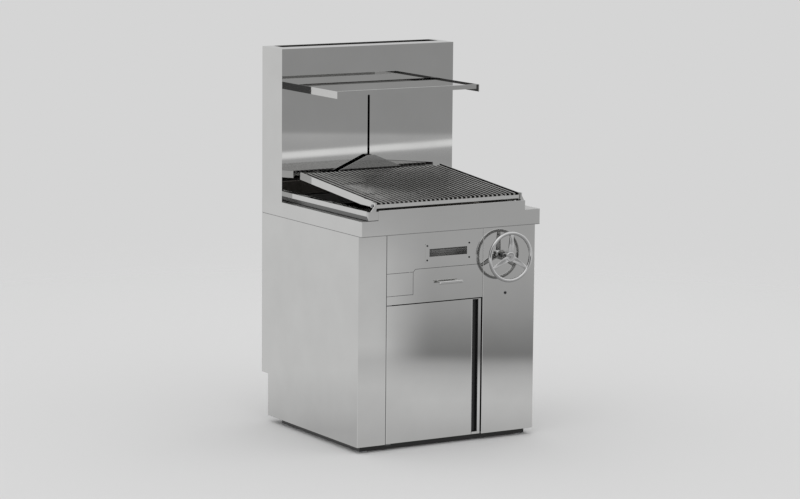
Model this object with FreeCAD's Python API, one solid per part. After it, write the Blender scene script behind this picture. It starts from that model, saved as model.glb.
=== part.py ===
import FreeCAD, Part
import math
import os

# Commercial charcoal grill with a flue tower, a tilting grate lifted by a handwheel,
# an ash drawer and a cupboard.
# Millimetres, +Z up, -Y is the front. The origin is on the floor, under the middle of
# the box that holds the whole grill.

Vec = FreeCAD.Vector
os.makedirs("parts", exist_ok=True)

# Body
BODY_WIDTH = 800.0
BODY_DEPTH = 765.0
WORK_HEIGHT = 900.0
APRON_DROP = 60.0
APRON_OVERHANG = 22.0
SEAM_HEIGHT = 2.2          # shadow line between the worktop and the side panel
SEAM_DEPTH = 1.4
RIGHT_OVERHANG = 8.0
SHEET = 2.0
GAP = 1.5                  # visible joint between two front panels
BEND_RADIUS = 1.5
NOTCH_DEPTH = 52.0         # pipe space left free behind the foot of the body
NOTCH_HEIGHT = 170.0
STILE_WIDTH = 125.0
CONTROL_WIDTH = 239.0
BULKHEAD_GAP = 5.0         # service wall behind the cupboard, in front of the tower

# Plinth and feet
PLINTH_HEIGHT = 25.0
PLINTH_INSET = 25.0
PLINTH_REAR_INSET = 72.0
PLINTH_WALL = 3.0
PLINTH_FLANGE = 40.0
FOOT_RADIUS = 20.0
FOOT_HEIGHT = 3.0
FOOT_STEM_RADIUS = 5.0

# Door
FRONT_THICKNESS = 20.0
UPPER_HEIGHT = 273.0       # fronts between the apron and the door
DOOR_SIDE_GAP = 2.0
DOOR_PULL_GAP = 8.0        # beside the pull's lip
DOOR_TOP_GAP = 4.0
PULL_RECESS = 25.0
PULL_LIP = 12.0
PULL_EDGE = 5.0            # rounded edge of the skin beside the recess
PULL_CAP = 9.0
PIVOT_OFFSET = 6.0         # hinge axis, in from the door's left edge and front face
PIVOT_RADIUS = 3.0
RUNNING_CLEARANCE = 0.05
PIVOT_DEPTH = 12.0
HINGE_PLATE = 2.5
HINGE_WIDTH = 22.0
HINGE_LENGTH = 48.0

# Fronts above the door
STRIP_HEIGHT = 33.0        # low strip of the drawer front, under the cover
COVER_WIDTH = 116.5
COVER_HEIGHT = 86.0
DRAWER_FRONT_HEIGHT = 130.5
DRAWER_CHAMFER = 10.0
DRAWER_FRONT_THICKNESS = 18.0

# Ash drawer
DRAWER_SIDE_GAP = 20.0     # between the front's edges and the box
DRAWER_BOX_HEIGHT = 108.0
DRAWER_BOX_LIFT = 6.0
DRAWER_BACK_SPACE = 60.0   # behind the box
SLIDE_CLEARANCE = 0.3
SLIDE_HEIGHT = 13.0
SLIDE_WIDTH = 12.0
SLIDE_LIFT = 34.0          # underside of the drawer's slide above the deck
HANDLE_LENGTH = 106.0
HANDLE_STANDOFF = 26.0
HANDLE_HEIGHT = 12.0
HANDLE_DEPTH = 9.0
HANDLE_POST_RADIUS = 4.0
HANDLE_RISE = 73.5         # handle centre above the drawer front's lower edge

# Air vent
VENT_WIDTH = 206.0
VENT_HEIGHT = 72.0
VENT_TO_CONTROL = 58.0     # beside the control panel
VENT_DROP = 83.0           # centre of the vent below the apron
VENT_WINDOW_WIDTH = 170.0
VENT_WINDOW_HEIGHT = 30.0
VENT_SCREW_RADIUS = 3.5
VENT_SCREW_MARGIN = 8.0
VENT_SLOT_WIDTH = 2.5
VENT_SLOT_PITCH = 5.0
DUCT_WALL = 1.5

# Worktop and gutters
RIM_HEIGHT = 38.0          # gutter rims above the worktop
CORNER_DROP = 3.0          # corner blocks below the rims, clear of the tilting grate
RIM_LEFT = 24.0            # from the body's left side
RIM_RIGHT = 63.0           # from the body's right side
GUTTER_INNER_RISE = 30.0
GUTTER_UNDERCUT = 8.0
GUTTER_FRONT_LEFT = 75.0   # front plate starts here, from the body's left side
FLANGE_WIDTH = 12.0

# Firebox
FIREBOX_LEFT = 82.0
FIREBOX_RIGHT = 97.0
FIREBOX_FRONT = 30.0
FIREBOX_BACK_SPACE = 15.0  # before the service wall
FIREBOX_WALL = 3.0
FIREBOX_RISE = 25.0        # above the worktop
FIREBOX_DEPTH = 110.0      # straight walls, below the worktop
HOPPER_DROP = 85.0
THROAT_WIDTH = 258.0
LEDGE_WIDTH = 30.0
OUTLET_WIDTH = 460.0
OUTLET_HEIGHT = 30.0
OUTLET_DROP = 18.0         # below the worktop
BRICK_THICKNESS = 25.0
BRICK_HEIGHT = 95.0
BRICKS_PER_SIDE = 4
FIRE_BAR_WIDTH = 10.0
FIRE_BAR_HEIGHT = 12.0
FIRE_BAR_PITCH = 22.0

# Grate
GRATE_LEFT = 67.5
GRATE_RIGHT = 83.5
GRATE_FRONT = -13.0        # front edge from the front panels' plane, grate level
GRATE_TOWER_GAP = 26.0     # behind the grate, for the yoke
GRATE_RAIL = 4.0
GRATE_HEIGHT = 28.0
GRATE_BAR = 8.0
GRATE_BAR_PITCH = 20.0
GRATE_REAR_SLOT = 22.0     # open behind the bars' ends
GRATE_FRONT_CUT = 6.0      # lower edge of the front rail above the side rails'
CROSS_BAR = 8.0
AXIS_RISE = 55.0           # tilt axis above the worktop
PIN_RADIUS = 4.0
EAR_PLATE = 5.0
EAR_GAP = 1.5
EAR_WEB = 24.0             # width of the left web; the right one ends at the rim
REST_TILT = 4.85           # degrees, as it stands in the photograph
TILT_MAX = 29.0            # degrees from level

# Tower
TOWER_HEIGHT = 605.0
TOWER_DEPTH = 162.0
TOWER_SHORTFALL = 10.0
TOWER_RETURN = 25.0
FLUE_DEPTH = 74.0
FLUE_REAR_LIP = 10.0
FLUE_LEFT = 45.0
FLUE_RIGHT = 25.0
SLOT_WIDTH = 10.0
SLOT_BOTTOM = 42.0         # above the worktop
SLOT_TOP = 409.0           # above the worktop

# Shelf on the tower
SHELF_DEPTH = 321.0
SHELF_LEFT = 66.0          # from the tower's left side
SHELF_WIDTH = 646.0
SHELF_TOP = 464.5          # above the worktop
ARM_HEIGHT = 28.5
ARM_THICKNESS = 3.0
SHELF_DROP = 5.0           # plate below the arms' upper edges
SHELF_LIP = 13.0
SHELF_SLOT = 40.0          # open behind the plate, so that heat rises past it
SHELF_LIP_SETBACK = 8.0
SHELF_FLANGE = 25.0
BOLT_RADIUS = 5.0
BOLT_HEAD = 3.5

# Lift
YOKE_PLATE = 4.0
YOKE_GAP = 2.0             # behind the grate's rear rail at its furthest
YOKE_HALF_WIDTH = 150.0
YOKE_TOP_WIDTH = 30.0
YOKE_HEIGHT = 86.0
YOKE_SHOULDER = 30.0
PRONG_WIDTH = 30.0
PRONG_SPACING = 240.0
PRONG_LENGTH = 88.0
LIFT_CLEARANCE = 0.3
ARM_BLADE = 8.0
BLADE_HEIGHT = 48.0
BLADE_DROP = 4.0           # below the yoke's top
ROD_RADIUS = 8.0
ROD_SPACING = 140.0
ROD_SETBACK = 47.0         # behind the tower's front face
ROD_TOP = 442.0            # above the worktop
CROSSHEAD_DEPTH = 30.0
CROSSHEAD_HEIGHT = 40.0
CROSSHEAD_MARGIN = 30.0
BUSH_WALL = 4.0
BRACKET_PLATE = 14.0

# Handwheel, shaft, pinion and rack
WHEEL_RADIUS = 93.0
WHEEL_TUBE = 7.0
WHEEL_FROM_RIGHT = 143.0
WHEEL_DROP = 116.5         # axis below the apron
WHEEL_STANDOFF = 46.0
SPOKE_ROOT = 20.0
SPOKE_TIP = 13.0
SPOKE_THICKNESS = 6.0
HUB_RADIUS = 20.0
HUB_LENGTH = 34.0
HUB_NOSE = 4.0
WHEEL_SCREW_RADIUS = 5.0
WHEEL_SCREW_HEIGHT = 5.0
SHAFT_RADIUS = 8.0
BEARING_RADIUS = 22.0
BEARING_LENGTH = 14.0
TOOTH_MODULE = 3.0
PINION_TEETH = 16
GEAR_WIDTH = 16.0
BACKLASH = 0.6
RACK_BODY = 16.0
RACK_TEETH = 35
GUIDE_BLOCK = 12.0

# Button
BUTTON_DROP = 148.0        # below the handwheel's axis
BUTTON_SHIFT = 7.5
BUTTON_RADIUS = 4.4
BUTTON_PROUD = 2.5
BUTTON_LENGTH = 12.0
BUTTON_TRAVEL = 2.0
BUSH_RADIUS = 6.5
BUSH_PROUD = 1.0
SWITCH_LENGTH = 30.0

# Planes worked out from the sizes above
WHEEL_REACH = WHEEL_STANDOFF + HUB_NOSE + WHEEL_SCREW_HEIGHT
LEFT = -(BODY_WIDTH + RIGHT_OVERHANG) / 2
RIGHT = LEFT + BODY_WIDTH
FRONT = (WHEEL_REACH - BODY_DEPTH) / 2
REAR = FRONT + BODY_DEPTH
BOTTOM = PLINTH_HEIGHT
TOP = WORK_HEIGHT
APRON_BOTTOM = TOP - APRON_DROP
INSIDE_LEFT = LEFT + SHEET
INSIDE_RIGHT = RIGHT - SHEET
FLOOR_TOP = BOTTOM + SHEET
FRAME_FRONT = FRONT + FRONT_THICKNESS
FRAME_BACK = FRAME_FRONT + SHEET
STILE_EDGE = LEFT + STILE_WIDTH
CONTROL_LEFT = RIGHT - CONTROL_WIDTH
TOWER_FRONT = REAR - TOWER_DEPTH
BULKHEAD = TOWER_FRONT - BULKHEAD_GAP
BULKHEAD_BACK = BULKHEAD + SHEET
TOWER_RIGHT = RIGHT - TOWER_SHORTFALL
TOWER_MIDDLE = (LEFT + TOWER_RIGHT) / 2
TOWER_TOP = TOP + TOWER_HEIGHT
DOOR_LEFT = STILE_EDGE + DOOR_SIDE_GAP
DOOR_RIGHT = CONTROL_LEFT - DOOR_PULL_GAP
DOOR_BOTTOM = BOTTOM + GAP
UPPER_BOTTOM = APRON_BOTTOM - UPPER_HEIGHT
DOOR_TOP = UPPER_BOTTOM - DOOR_TOP_GAP
DECK_TOP = UPPER_BOTTOM + SHEET
FIRE_LEFT = LEFT + FIREBOX_LEFT
FIRE_RIGHT = RIGHT - FIREBOX_RIGHT
FIRE_FRONT = FRONT + FIREBOX_FRONT
FIRE_REAR = BULKHEAD - FIREBOX_BACK_SPACE
FIRE_TOP = TOP + FIREBOX_RISE
FIRE_BEND = TOP - FIREBOX_DEPTH
LEDGE_TOP = FIRE_BEND + FIREBOX_WALL
THROAT = FIRE_BEND - HOPPER_DROP
PIN_Z = TOP + AXIS_RISE
WHEEL_X = RIGHT - WHEEL_FROM_RIGHT
WHEEL_Z = APRON_BOTTOM - WHEEL_DROP
WHEEL_Y = FRONT - WHEEL_STANDOFF


def box(x0, x1, y0, y1, z0, z1):
    return Part.makeBox(x1 - x0, y1 - y0, z1 - z0, Vec(x0, y0, z0))


def rod(radius, start, direction, length):
    return Part.makeCylinder(radius, length, start, direction)


def fuse(shapes):
    return shapes[0].fuse(list(shapes[1:])).removeSplitter()


def place(axis, along, u, v):
    if axis == "x":
        return Vec(along, u, v)
    if axis == "y":
        return Vec(u, along, v)
    return Vec(u, v, along)


def prism(points, axis, start, end):
    """A straight piece whose section, seen along the axis, has these corners."""
    corners = [place(axis, start, u, v) for u, v in points]
    face = Part.Face(Part.makePolygon(corners + corners[:1]))
    return face.extrude(place(axis, end - start, 0, 0))


def bent_sheet(line, thickness, axis, start, end):
    """A folded sheet: the line is one face of its section, the other lies to its left."""
    def unit(a, b):
        length = math.hypot(b[0] - a[0], b[1] - a[1])
        return (b[0] - a[0]) / length, (b[1] - a[1]) / length

    runs = [unit(a, b) for a, b in zip(line, line[1:])]
    other = []
    for i, (u, v) in enumerate(line):
        before = runs[max(i - 1, 0)]
        after = runs[min(i, len(runs) - 1)]
        normal = (-before[1] - after[1], before[0] + after[0])
        scale = thickness / (1 + before[0] * after[0] + before[1] * after[1])
        other.append((u + normal[0] * scale, v + normal[1] * scale))
    return prism(line + other[::-1], axis, start, end)


def rounded(shape, radius, wanted):
    edges = [edge for edge in shape.Edges if wanted(edge)]
    return shape.makeFillet(radius, edges) if edges else shape


def upright_at(x, y):
    """Picks the vertical edges that stand at one place."""
    def wanted(edge):
        ends = [v.Point for v in edge.Vertexes]
        return len(ends) == 2 and all(abs(p.x - x) < 0.01 and abs(p.y - y) < 0.01 for p in ends)
    return wanted


def export(name, *solids):
    shape = solids[0] if len(solids) == 1 else Part.makeCompound(list(solids))
    shape.exportStep(f"parts/{name}.step")
    print(name, len(shape.Solids), round(shape.Volume / 1000, 1), "cm3")


# Base

def levelling_feet():
    feet = []
    reach = PLINTH_INSET + PLINTH_WALL + FOOT_RADIUS
    rear = REAR - NOTCH_DEPTH - PLINTH_REAR_INSET - PLINTH_WALL - FOOT_RADIUS
    for x in (LEFT + reach, RIGHT - reach):
        for y in (FRONT + reach, rear):
            pad = rod(FOOT_RADIUS, Vec(x, y, 0), Vec(0, 0, 1), FOOT_HEIGHT)
            stem_length = PLINTH_HEIGHT - PLINTH_WALL - FOOT_HEIGHT
            stem = rod(FOOT_STEM_RADIUS, Vec(x, y, FOOT_HEIGHT), Vec(0, 0, 1), stem_length)
            feet.append(fuse([pad, stem]))
    return feet


def plinth_frame():
    x0, x1 = LEFT + PLINTH_INSET, RIGHT - PLINTH_INSET
    y0, y1 = FRONT + PLINTH_INSET, REAR - NOTCH_DEPTH - PLINTH_REAR_INSET

    def ring(width, z0, z1):
        outer = box(x0, x1, y0, y1, z0, z1)
        return outer.cut(box(x0 + width, x1 - width, y0 + width, y1 - width, z0, z1))

    wall = ring(PLINTH_WALL, FOOT_HEIGHT, BOTTOM - PLINTH_WALL)
    flange = ring(PLINTH_FLANGE, BOTTOM - PLINTH_WALL, BOTTOM)
    return fuse([wall, flange])


def base_pan():
    y0, y1 = FRAME_BACK, REAR - NOTCH_DEPTH - SHEET
    x0, x1 = INSIDE_LEFT, INSIDE_RIGHT
    lip = BOTTOM + PLINTH_HEIGHT
    line = [(x0, lip), (x0, BOTTOM), (x1, BOTTOM), (x1, lip)]
    return bent_sheet(line, SHEET, "y", y0, y1)


# Body panels

def side_profile(inner_front):
    """The side's outline with its foot cut back at the rear for pipes."""
    back = REAR - NOTCH_DEPTH
    step = BOTTOM + NOTCH_HEIGHT
    return [(inner_front, BOTTOM), (back, BOTTOM), (back, step), (REAR, step),
            (REAR, APRON_BOTTOM), (inner_front, APRON_BOTTOM)]


def side_panel_left():
    side = prism(side_profile(FRONT), "x", LEFT, INSIDE_LEFT)
    stile = box(LEFT, STILE_EDGE, FRONT, FRONT + SHEET, BOTTOM, APRON_BOTTOM)
    turned = box(STILE_EDGE - SHEET, STILE_EDGE, FRONT, FRAME_FRONT, BOTTOM, APRON_BOTTOM)
    panel = fuse([side, stile, turned])
    panel = rounded(panel, BEND_RADIUS, upright_at(LEFT, FRONT))
    return rounded(panel, BEND_RADIUS, upright_at(STILE_EDGE, FRONT))


def side_panel_right():
    return prism(side_profile(FRONT + SHEET), "x", INSIDE_RIGHT, RIGHT)


def rear_panel():
    back = REAR - NOTCH_DEPTH
    step = BOTTOM + NOTCH_HEIGHT
    line = [(back, BOTTOM), (back, step), (REAR, step), (REAR, APRON_BOTTOM)]
    return bent_sheet(line, SHEET, "x", INSIDE_LEFT, INSIDE_RIGHT)


def control_panel():
    face = box(CONTROL_LEFT, RIGHT, FRONT, FRONT + SHEET, BOTTOM, APRON_BOTTOM)
    turned = box(CONTROL_LEFT, CONTROL_LEFT + SHEET, FRONT, FRAME_FRONT, BOTTOM, APRON_BOTTOM)
    panel = fuse([face, turned])
    panel = rounded(panel, BEND_RADIUS, upright_at(CONTROL_LEFT, FRONT))
    panel = rounded(panel, BEND_RADIUS, upright_at(RIGHT, FRONT))
    shaft_hole = rod(SHAFT_RADIUS + 1, Vec(WHEEL_X, FRONT, WHEEL_Z), Vec(0, 1, 0), SHEET)
    button_hole = rod(BUSH_RADIUS - 1, Vec(BUTTON_X, FRONT, BUTTON_Z), Vec(0, 1, 0), SHEET)
    return panel.cut([shaft_hole, button_hole])


def compartment_wall():
    return box(CONTROL_LEFT, CONTROL_LEFT + SHEET, FRAME_FRONT, BULKHEAD, FLOOR_TOP, THROAT - SHEET)


def cupboard_deck():
    return box(INSIDE_LEFT, CONTROL_LEFT, FRAME_FRONT, BULKHEAD, UPPER_BOTTOM, DECK_TOP)


def service_bulkhead():
    wall = box(INSIDE_LEFT + SHEET, INSIDE_RIGHT - SHEET, BULKHEAD, BULKHEAD_BACK, FLOOR_TOP, TOP - SHEET)
    shaft_hole = rod(SHAFT_RADIUS + 1, Vec(WHEEL_X, BULKHEAD, WHEEL_Z), Vec(0, 1, 0), SHEET)
    return wall.cut([shaft_hole, flue_window(BULKHEAD, BULKHEAD_BACK)])


def flue_window(y0, y1, margin=0.0):
    """The smoke's way from the firebox to the flue."""
    middle = (FIRE_LEFT + FIRE_RIGHT) / 2
    half = OUTLET_WIDTH / 2 + margin
    top = TOP - OUTLET_DROP
    return box(middle - half, middle + half, y0, y1, top - OUTLET_HEIGHT - margin, top + margin)


# Fronts above the door

DRAWER_LEFT = STILE_EDGE + GAP + COVER_WIDTH + GAP
DRAWER_RIGHT = CONTROL_LEFT - GAP
STRIP_TOP = UPPER_BOTTOM + STRIP_HEIGHT
DRAWER_TOP = UPPER_BOTTOM + DRAWER_FRONT_HEIGHT
COVER_TOP = STRIP_TOP + GAP + COVER_HEIGHT
VENT_X = CONTROL_LEFT - VENT_TO_CONTROL - VENT_WIDTH / 2
VENT_Z = APRON_BOTTOM - VENT_DROP
BUTTON_X = WHEEL_X + BUTTON_SHIFT
BUTTON_Z = WHEEL_Z - BUTTON_DROP


def vent_window(y0, y1, margin=0.0):
    half_width = VENT_WINDOW_WIDTH / 2 + margin
    half_height = VENT_WINDOW_HEIGHT / 2 + margin
    return box(VENT_X - half_width, VENT_X + half_width, y0, y1, VENT_Z - half_height, VENT_Z + half_height)


def vent_screw_places():
    dx = VENT_WIDTH / 2 - VENT_SCREW_MARGIN
    dz = VENT_HEIGHT / 2 - VENT_SCREW_MARGIN
    return [(VENT_X + sx * dx, VENT_Z + sz * dz) for sx in (-1, 1) for sz in (-1, 1)]


def upper_front_panel():
    step = COVER_TOP + GAP
    slope = DRAWER_TOP + GAP
    outline = [(STILE_EDGE + GAP, step), (DRAWER_LEFT - GAP / 2, step),
               (DRAWER_LEFT - GAP / 2 + slope - step, slope), (DRAWER_RIGHT, slope),
               (DRAWER_RIGHT, APRON_BOTTOM), (STILE_EDGE + GAP, APRON_BOTTOM)]
    face = prism(outline, "y", FRONT, FRONT + SHEET)
    left = box(STILE_EDGE + GAP, STILE_EDGE + GAP + SHEET, FRONT, FRAME_FRONT, step, APRON_BOTTOM)
    right = box(DRAWER_RIGHT - SHEET, DRAWER_RIGHT, FRONT, FRAME_FRONT, slope, APRON_BOTTOM)
    panel = fuse([face, left, right])
    holes = [rod(VENT_SCREW_RADIUS / 2, Vec(x, FRONT, z), Vec(0, 1, 0), SHEET) for x, z in vent_screw_places()]
    return panel.cut(holes + [vent_window(FRONT, FRONT + SHEET)])


def front_frame():
    y0, y1 = FRAME_FRONT, FRAME_BACK
    frame = box(STILE_EDGE - SHEET, CONTROL_LEFT, y0, y1, DECK_TOP, APRON_BOTTOM)
    around = 3.0
    drawer = box(BOX_LEFT - SLIDE_WIDTH - around, BOX_RIGHT + SLIDE_WIDTH + around, y0, y1,
                 DECK_TOP, BOX_TOP + around)
    cover_inset = 15.0
    access = box(STILE_EDGE + cover_inset, DRAWER_LEFT - cover_inset, y0, y1,
                 STRIP_TOP + cover_inset, COVER_TOP - cover_inset)
    return frame.cut([drawer, access, vent_window(y0, y1, DUCT_WALL)])


def access_cover():
    """A plate that presses into the frame with four folded edges."""
    x0, x1 = STILE_EDGE + GAP, DRAWER_LEFT - GAP
    z0, z1 = STRIP_TOP + GAP, COVER_TOP
    pan = box(x0, x1, FRONT, FRAME_FRONT, z0, z1)
    return pan.cut(box(x0 + SHEET, x1 - SHEET, FRONT + SHEET, FRAME_FRONT, z0 + SHEET, z1 - SHEET))


def vent_plate():
    half_width, half_height = VENT_WIDTH / 2, VENT_HEIGHT / 2
    plate = box(VENT_X - half_width, VENT_X + half_width, FRONT - SHEET, FRONT,
                VENT_Z - half_height, VENT_Z + half_height)
    plate = rounded(plate, BEND_RADIUS * 2, lambda e: abs(e.tangentAt(e.FirstParameter).y) > 0.99)
    holes = [rod(VENT_SCREW_RADIUS / 2, Vec(x, FRONT - SHEET, z), Vec(0, 1, 0), SHEET)
             for x, z in vent_screw_places()]
    return plate.cut(holes + [vent_window(FRONT - SHEET, FRONT)])


def vent_grille():
    y0 = FRONT + SHEET
    sheet = vent_window(y0, y0 + DUCT_WALL, DUCT_WALL)
    count = int((VENT_WINDOW_WIDTH - VENT_SLOT_PITCH) // VENT_SLOT_PITCH)
    first = VENT_X - (count - 1) * VENT_SLOT_PITCH / 2
    half = VENT_SLOT_WIDTH / 2
    reach = VENT_WINDOW_HEIGHT / 2 - VENT_SLOT_WIDTH
    slots = []
    for i in range(count):
        x = first + i * VENT_SLOT_PITCH
        slots.append(box(x - half, x + half, y0, y0 + DUCT_WALL, VENT_Z - reach, VENT_Z + reach))
    return sheet.cut(slots)


def vent_screws():
    screws = []
    for x, z in vent_screw_places():
        head = rod(VENT_SCREW_RADIUS, Vec(x, FRONT - SHEET - 1.2, z), Vec(0, 1, 0), 1.2)
        shank = rod(VENT_SCREW_RADIUS / 2, Vec(x, FRONT - SHEET, z), Vec(0, 1, 0), SHEET * 2)
        screws.append(fuse([head, shank]))
    return screws


def air_duct():
    y0, y1 = FRONT + SHEET + DUCT_WALL, FIRE_FRONT
    return vent_window(y0, y1, DUCT_WALL).cut(vent_window(y0, y1))


# Worktop, gutters and pivots

RIM_X0 = LEFT + RIM_LEFT
RIM_X1 = RIGHT - RIM_RIGHT
RIM_TOP = TOP + RIM_HEIGHT
CORNER_TOP = RIM_TOP - CORNER_DROP
GUTTER_FLOOR = TOP + SHEET
GRATE_X0 = LEFT + GRATE_LEFT
GRATE_X1 = RIGHT - GRATE_RIGHT
GRATE_Y0 = FRONT + GRATE_FRONT
GRATE_Y1 = TOWER_FRONT - GRATE_TOWER_GAP
GRATE_LENGTH = GRATE_Y1 - GRATE_Y0
GRATE_TOP = PIN_Z + GRATE_HEIGHT / 2
GRATE_BOTTOM = PIN_Z - GRATE_HEIGHT / 2


def worktop():
    x0, x1 = LEFT, RIGHT + RIGHT_OVERHANG
    y0, y1 = FRONT - APRON_OVERHANG, REAR
    block = box(x0, x1, y0, y1, APRON_BOTTOM, TOP)
    edges = [upright_at(x0, y0), upright_at(x1, y0)]
    for wanted in edges:
        block = rounded(block, BEND_RADIUS * 2, wanted)
    seam = box(x0, x0 + SEAM_DEPTH, FRONT, y1, APRON_BOTTOM, APRON_BOTTOM + SEAM_HEIGHT)
    hollow = box(x0 + SHEET, x1 - SHEET, y0 + SHEET, y1 - SHEET, APRON_BOTTOM + SHEET, TOP - SHEET)
    under = box(INSIDE_LEFT, INSIDE_RIGHT, FRONT + SHEET, y1 - SHEET, APRON_BOTTOM, APRON_BOTTOM + SHEET)
    clear = 1.0
    fire = box(FIRE_LEFT - clear, FIRE_RIGHT + clear, FIRE_FRONT - clear, FIRE_REAR + clear, TOP - SHEET, TOP)
    duct = box(FIRE_LEFT, RIM_X1, TOWER_FRONT + TOWER_RETURN, REAR - FLUE_REAR_LIP, TOP - SHEET, TOP)
    return block.cut([hollow, under, fire, duct, seam])


def gutter(outer, inner):
    """Side gutter: wall beside the fire, floor, and a rim that leans out above an undercut."""
    side = 1 if inner > outer else -1
    foot = outer + side * GUTTER_UNDERCUT
    line = [(inner, TOP + GUTTER_INNER_RISE), (inner, GUTTER_FLOOR), (foot, GUTTER_FLOOR),
            (outer, TOP + RIM_HEIGHT / 2), (outer, RIM_TOP)]
    if side < 0:
        line.reverse()
    lean = bent_sheet([(u, v) for u, v in line], -SHEET, "y", FRONT - APRON_OVERHANG + SHEET, TOWER_FRONT)
    return lean


def gutter_left():
    return gutter(RIM_X0, FIRE_LEFT)


def gutter_right():
    return gutter(RIM_X1, FIRE_RIGHT)


def gutter_front():
    y0 = FRONT - APRON_OVERHANG
    y1 = FIRE_FRONT
    plate = box(LEFT + GUTTER_FRONT_LEFT, RIM_X1, y0, y0 + SHEET, TOP, RIM_TOP)
    plate = rounded(plate, SHEET * 0.4, lambda e: abs(e.BoundBox.ZMin - RIM_TOP) < 0.01
                    and abs(e.BoundBox.YMax - y0) < 0.01)
    line = [(y0 + SHEET, GUTTER_FLOOR), (y1, GUTTER_FLOOR), (y1, TOP + GUTTER_INNER_RISE)]
    channel = bent_sheet(line, SHEET, "x", FIRE_LEFT, FIRE_RIGHT)
    return fuse([plate, channel])


def corner_blocks():
    y0 = FRONT - APRON_OVERHANG + SHEET
    y1 = FRONT + 12
    floor = GUTTER_FLOOR + SHEET
    left_edge = LEFT + GUTTER_FRONT_LEFT
    left = box(RIM_X0 + SHEET, left_edge, y0, y1, floor, CORNER_TOP)
    left = rounded(left, BEND_RADIUS * 3, upright_at(RIM_X0 + SHEET, y0))
    right = box(FIRE_RIGHT + SHEET, RIM_X1 - SHEET, y0, y1, floor, CORNER_TOP)

    def undercut(rim, side):
        face = rim + side * SHEET
        toe = face + side * (GUTTER_UNDERCUT + 1)
        return prism([(rim, RIM_TOP), (face, RIM_TOP), (face, TOP + RIM_HEIGHT / 2 + 1), (toe, TOP), (rim, TOP)],
                     "y", y0, y1)

    return [left.cut(undercut(RIM_X0, 1)), right.cut(undercut(RIM_X1, -1))]


def pivot_brackets():
    """An upright with a bore beside each front corner of the grate, and a web in front of it."""
    brackets = []
    y0 = FRONT - APRON_OVERHANG + SHEET
    web_back = y0 + YOKE_PLATE
    left_edge = GRATE_X0 - EAR_GAP - EAR_WEB
    for rail, side, edge in ((GRATE_X0, -1, left_edge), (GRATE_X1, 1, RIM_X1 - SHEET)):
        near = rail + side * EAR_GAP
        far = near + side * EAR_PLATE
        x0, x1 = min(near, far), max(near, far)
        upright = box(x0, x1, y0, FRONT + GRATE_HEIGHT / 2, CORNER_TOP, GRATE_TOP - 1)
        web = prism([(near, CORNER_TOP), (edge, CORNER_TOP), (near, GRATE_TOP - 3)], "y", y0, web_back)
        bore = rod(PIN_RADIUS + RUNNING_CLEARANCE, Vec(x0, FRONT, PIN_Z), Vec(1, 0, 0), EAR_PLATE)
        brackets.append(fuse([upright, web]).cut(bore))
    return brackets


# Firebox

def firebox():
    wall = FIREBOX_WALL
    drawer_middle = (BOX_LEFT + BOX_RIGHT) / 2
    throat_left, throat_right = drawer_middle - THROAT_WIDTH / 2, drawer_middle + THROAT_WIDTH / 2
    left = [(FIRE_LEFT, FIRE_TOP), (FIRE_LEFT, FIRE_BEND), (throat_left, THROAT)]
    right = [(throat_right, THROAT), (FIRE_RIGHT, FIRE_BEND), (FIRE_RIGHT, FIRE_TOP)]
    sides = [bent_sheet(left, wall, "y", FIRE_FRONT, FIRE_REAR),
             bent_sheet(right, wall, "y", FIRE_FRONT, FIRE_REAR)]
    ends = [prism(left + right, "y", FIRE_FRONT, FIRE_FRONT + wall),
            prism(left + right, "y", FIRE_REAR - wall, FIRE_REAR)]
    rim = box(FIRE_LEFT - FLANGE_WIDTH, FIRE_RIGHT + FLANGE_WIDTH, FIRE_FRONT - FLANGE_WIDTH,
              FIRE_REAR + FLANGE_WIDTH, TOP, GUTTER_FLOOR)
    rim = rim.cut(box(FIRE_LEFT, FIRE_RIGHT, FIRE_FRONT, FIRE_REAR, TOP, GUTTER_FLOOR))
    ledge_left = box(FIRE_LEFT + wall, FIRE_LEFT + wall + LEDGE_WIDTH, FIRE_FRONT, FIRE_REAR,
                     LEDGE_TOP - wall, LEDGE_TOP)
    ledge_right = box(FIRE_RIGHT - wall - LEDGE_WIDTH, FIRE_RIGHT - wall, FIRE_FRONT, FIRE_REAR,
                      LEDGE_TOP - wall, LEDGE_TOP)
    collar = flue_window(FIRE_REAR, BULKHEAD, SHEET)
    inlet = vent_window(FIRE_FRONT, FIRE_FRONT + wall)
    outlet = flue_window(FIRE_REAR - wall, BULKHEAD)
    return fuse(sides + ends + [rim, ledge_left, ledge_right, collar]).cut([inlet, outlet])


FIRE_GRATE_TOP = LEDGE_TOP + FIRE_BAR_HEIGHT


def fire_grate():
    """Cast grid for the charcoal, lying on the firebox ledges."""
    play = 1.0
    x0, x1 = FIRE_LEFT + FIREBOX_WALL + play, FIRE_RIGHT - FIREBOX_WALL - play
    y0, y1 = FIRE_FRONT + FIREBOX_WALL + play, FIRE_REAR - FIREBOX_WALL - play
    z0, z1 = LEDGE_TOP, FIRE_GRATE_TOP
    edge = FIRE_BAR_WIDTH * 1.5
    pieces = [box(x0, x1, y0, y0 + edge, z0, z1), box(x0, x1, y1 - edge, y1, z0, z1),
              box(x0, x1, (y0 + y1 - edge) / 2, (y0 + y1 + edge) / 2, z0, z1)]
    count = int((x1 - x0 - FIRE_BAR_WIDTH) // FIRE_BAR_PITCH) + 1
    first = (x0 + x1 - (count - 1) * FIRE_BAR_PITCH - FIRE_BAR_WIDTH) / 2
    for i in range(count):
        x = first + i * FIRE_BAR_PITCH
        pieces.append(box(x, x + FIRE_BAR_WIDTH, y0, y1, z0, z1))
    return fuse(pieces)


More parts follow.
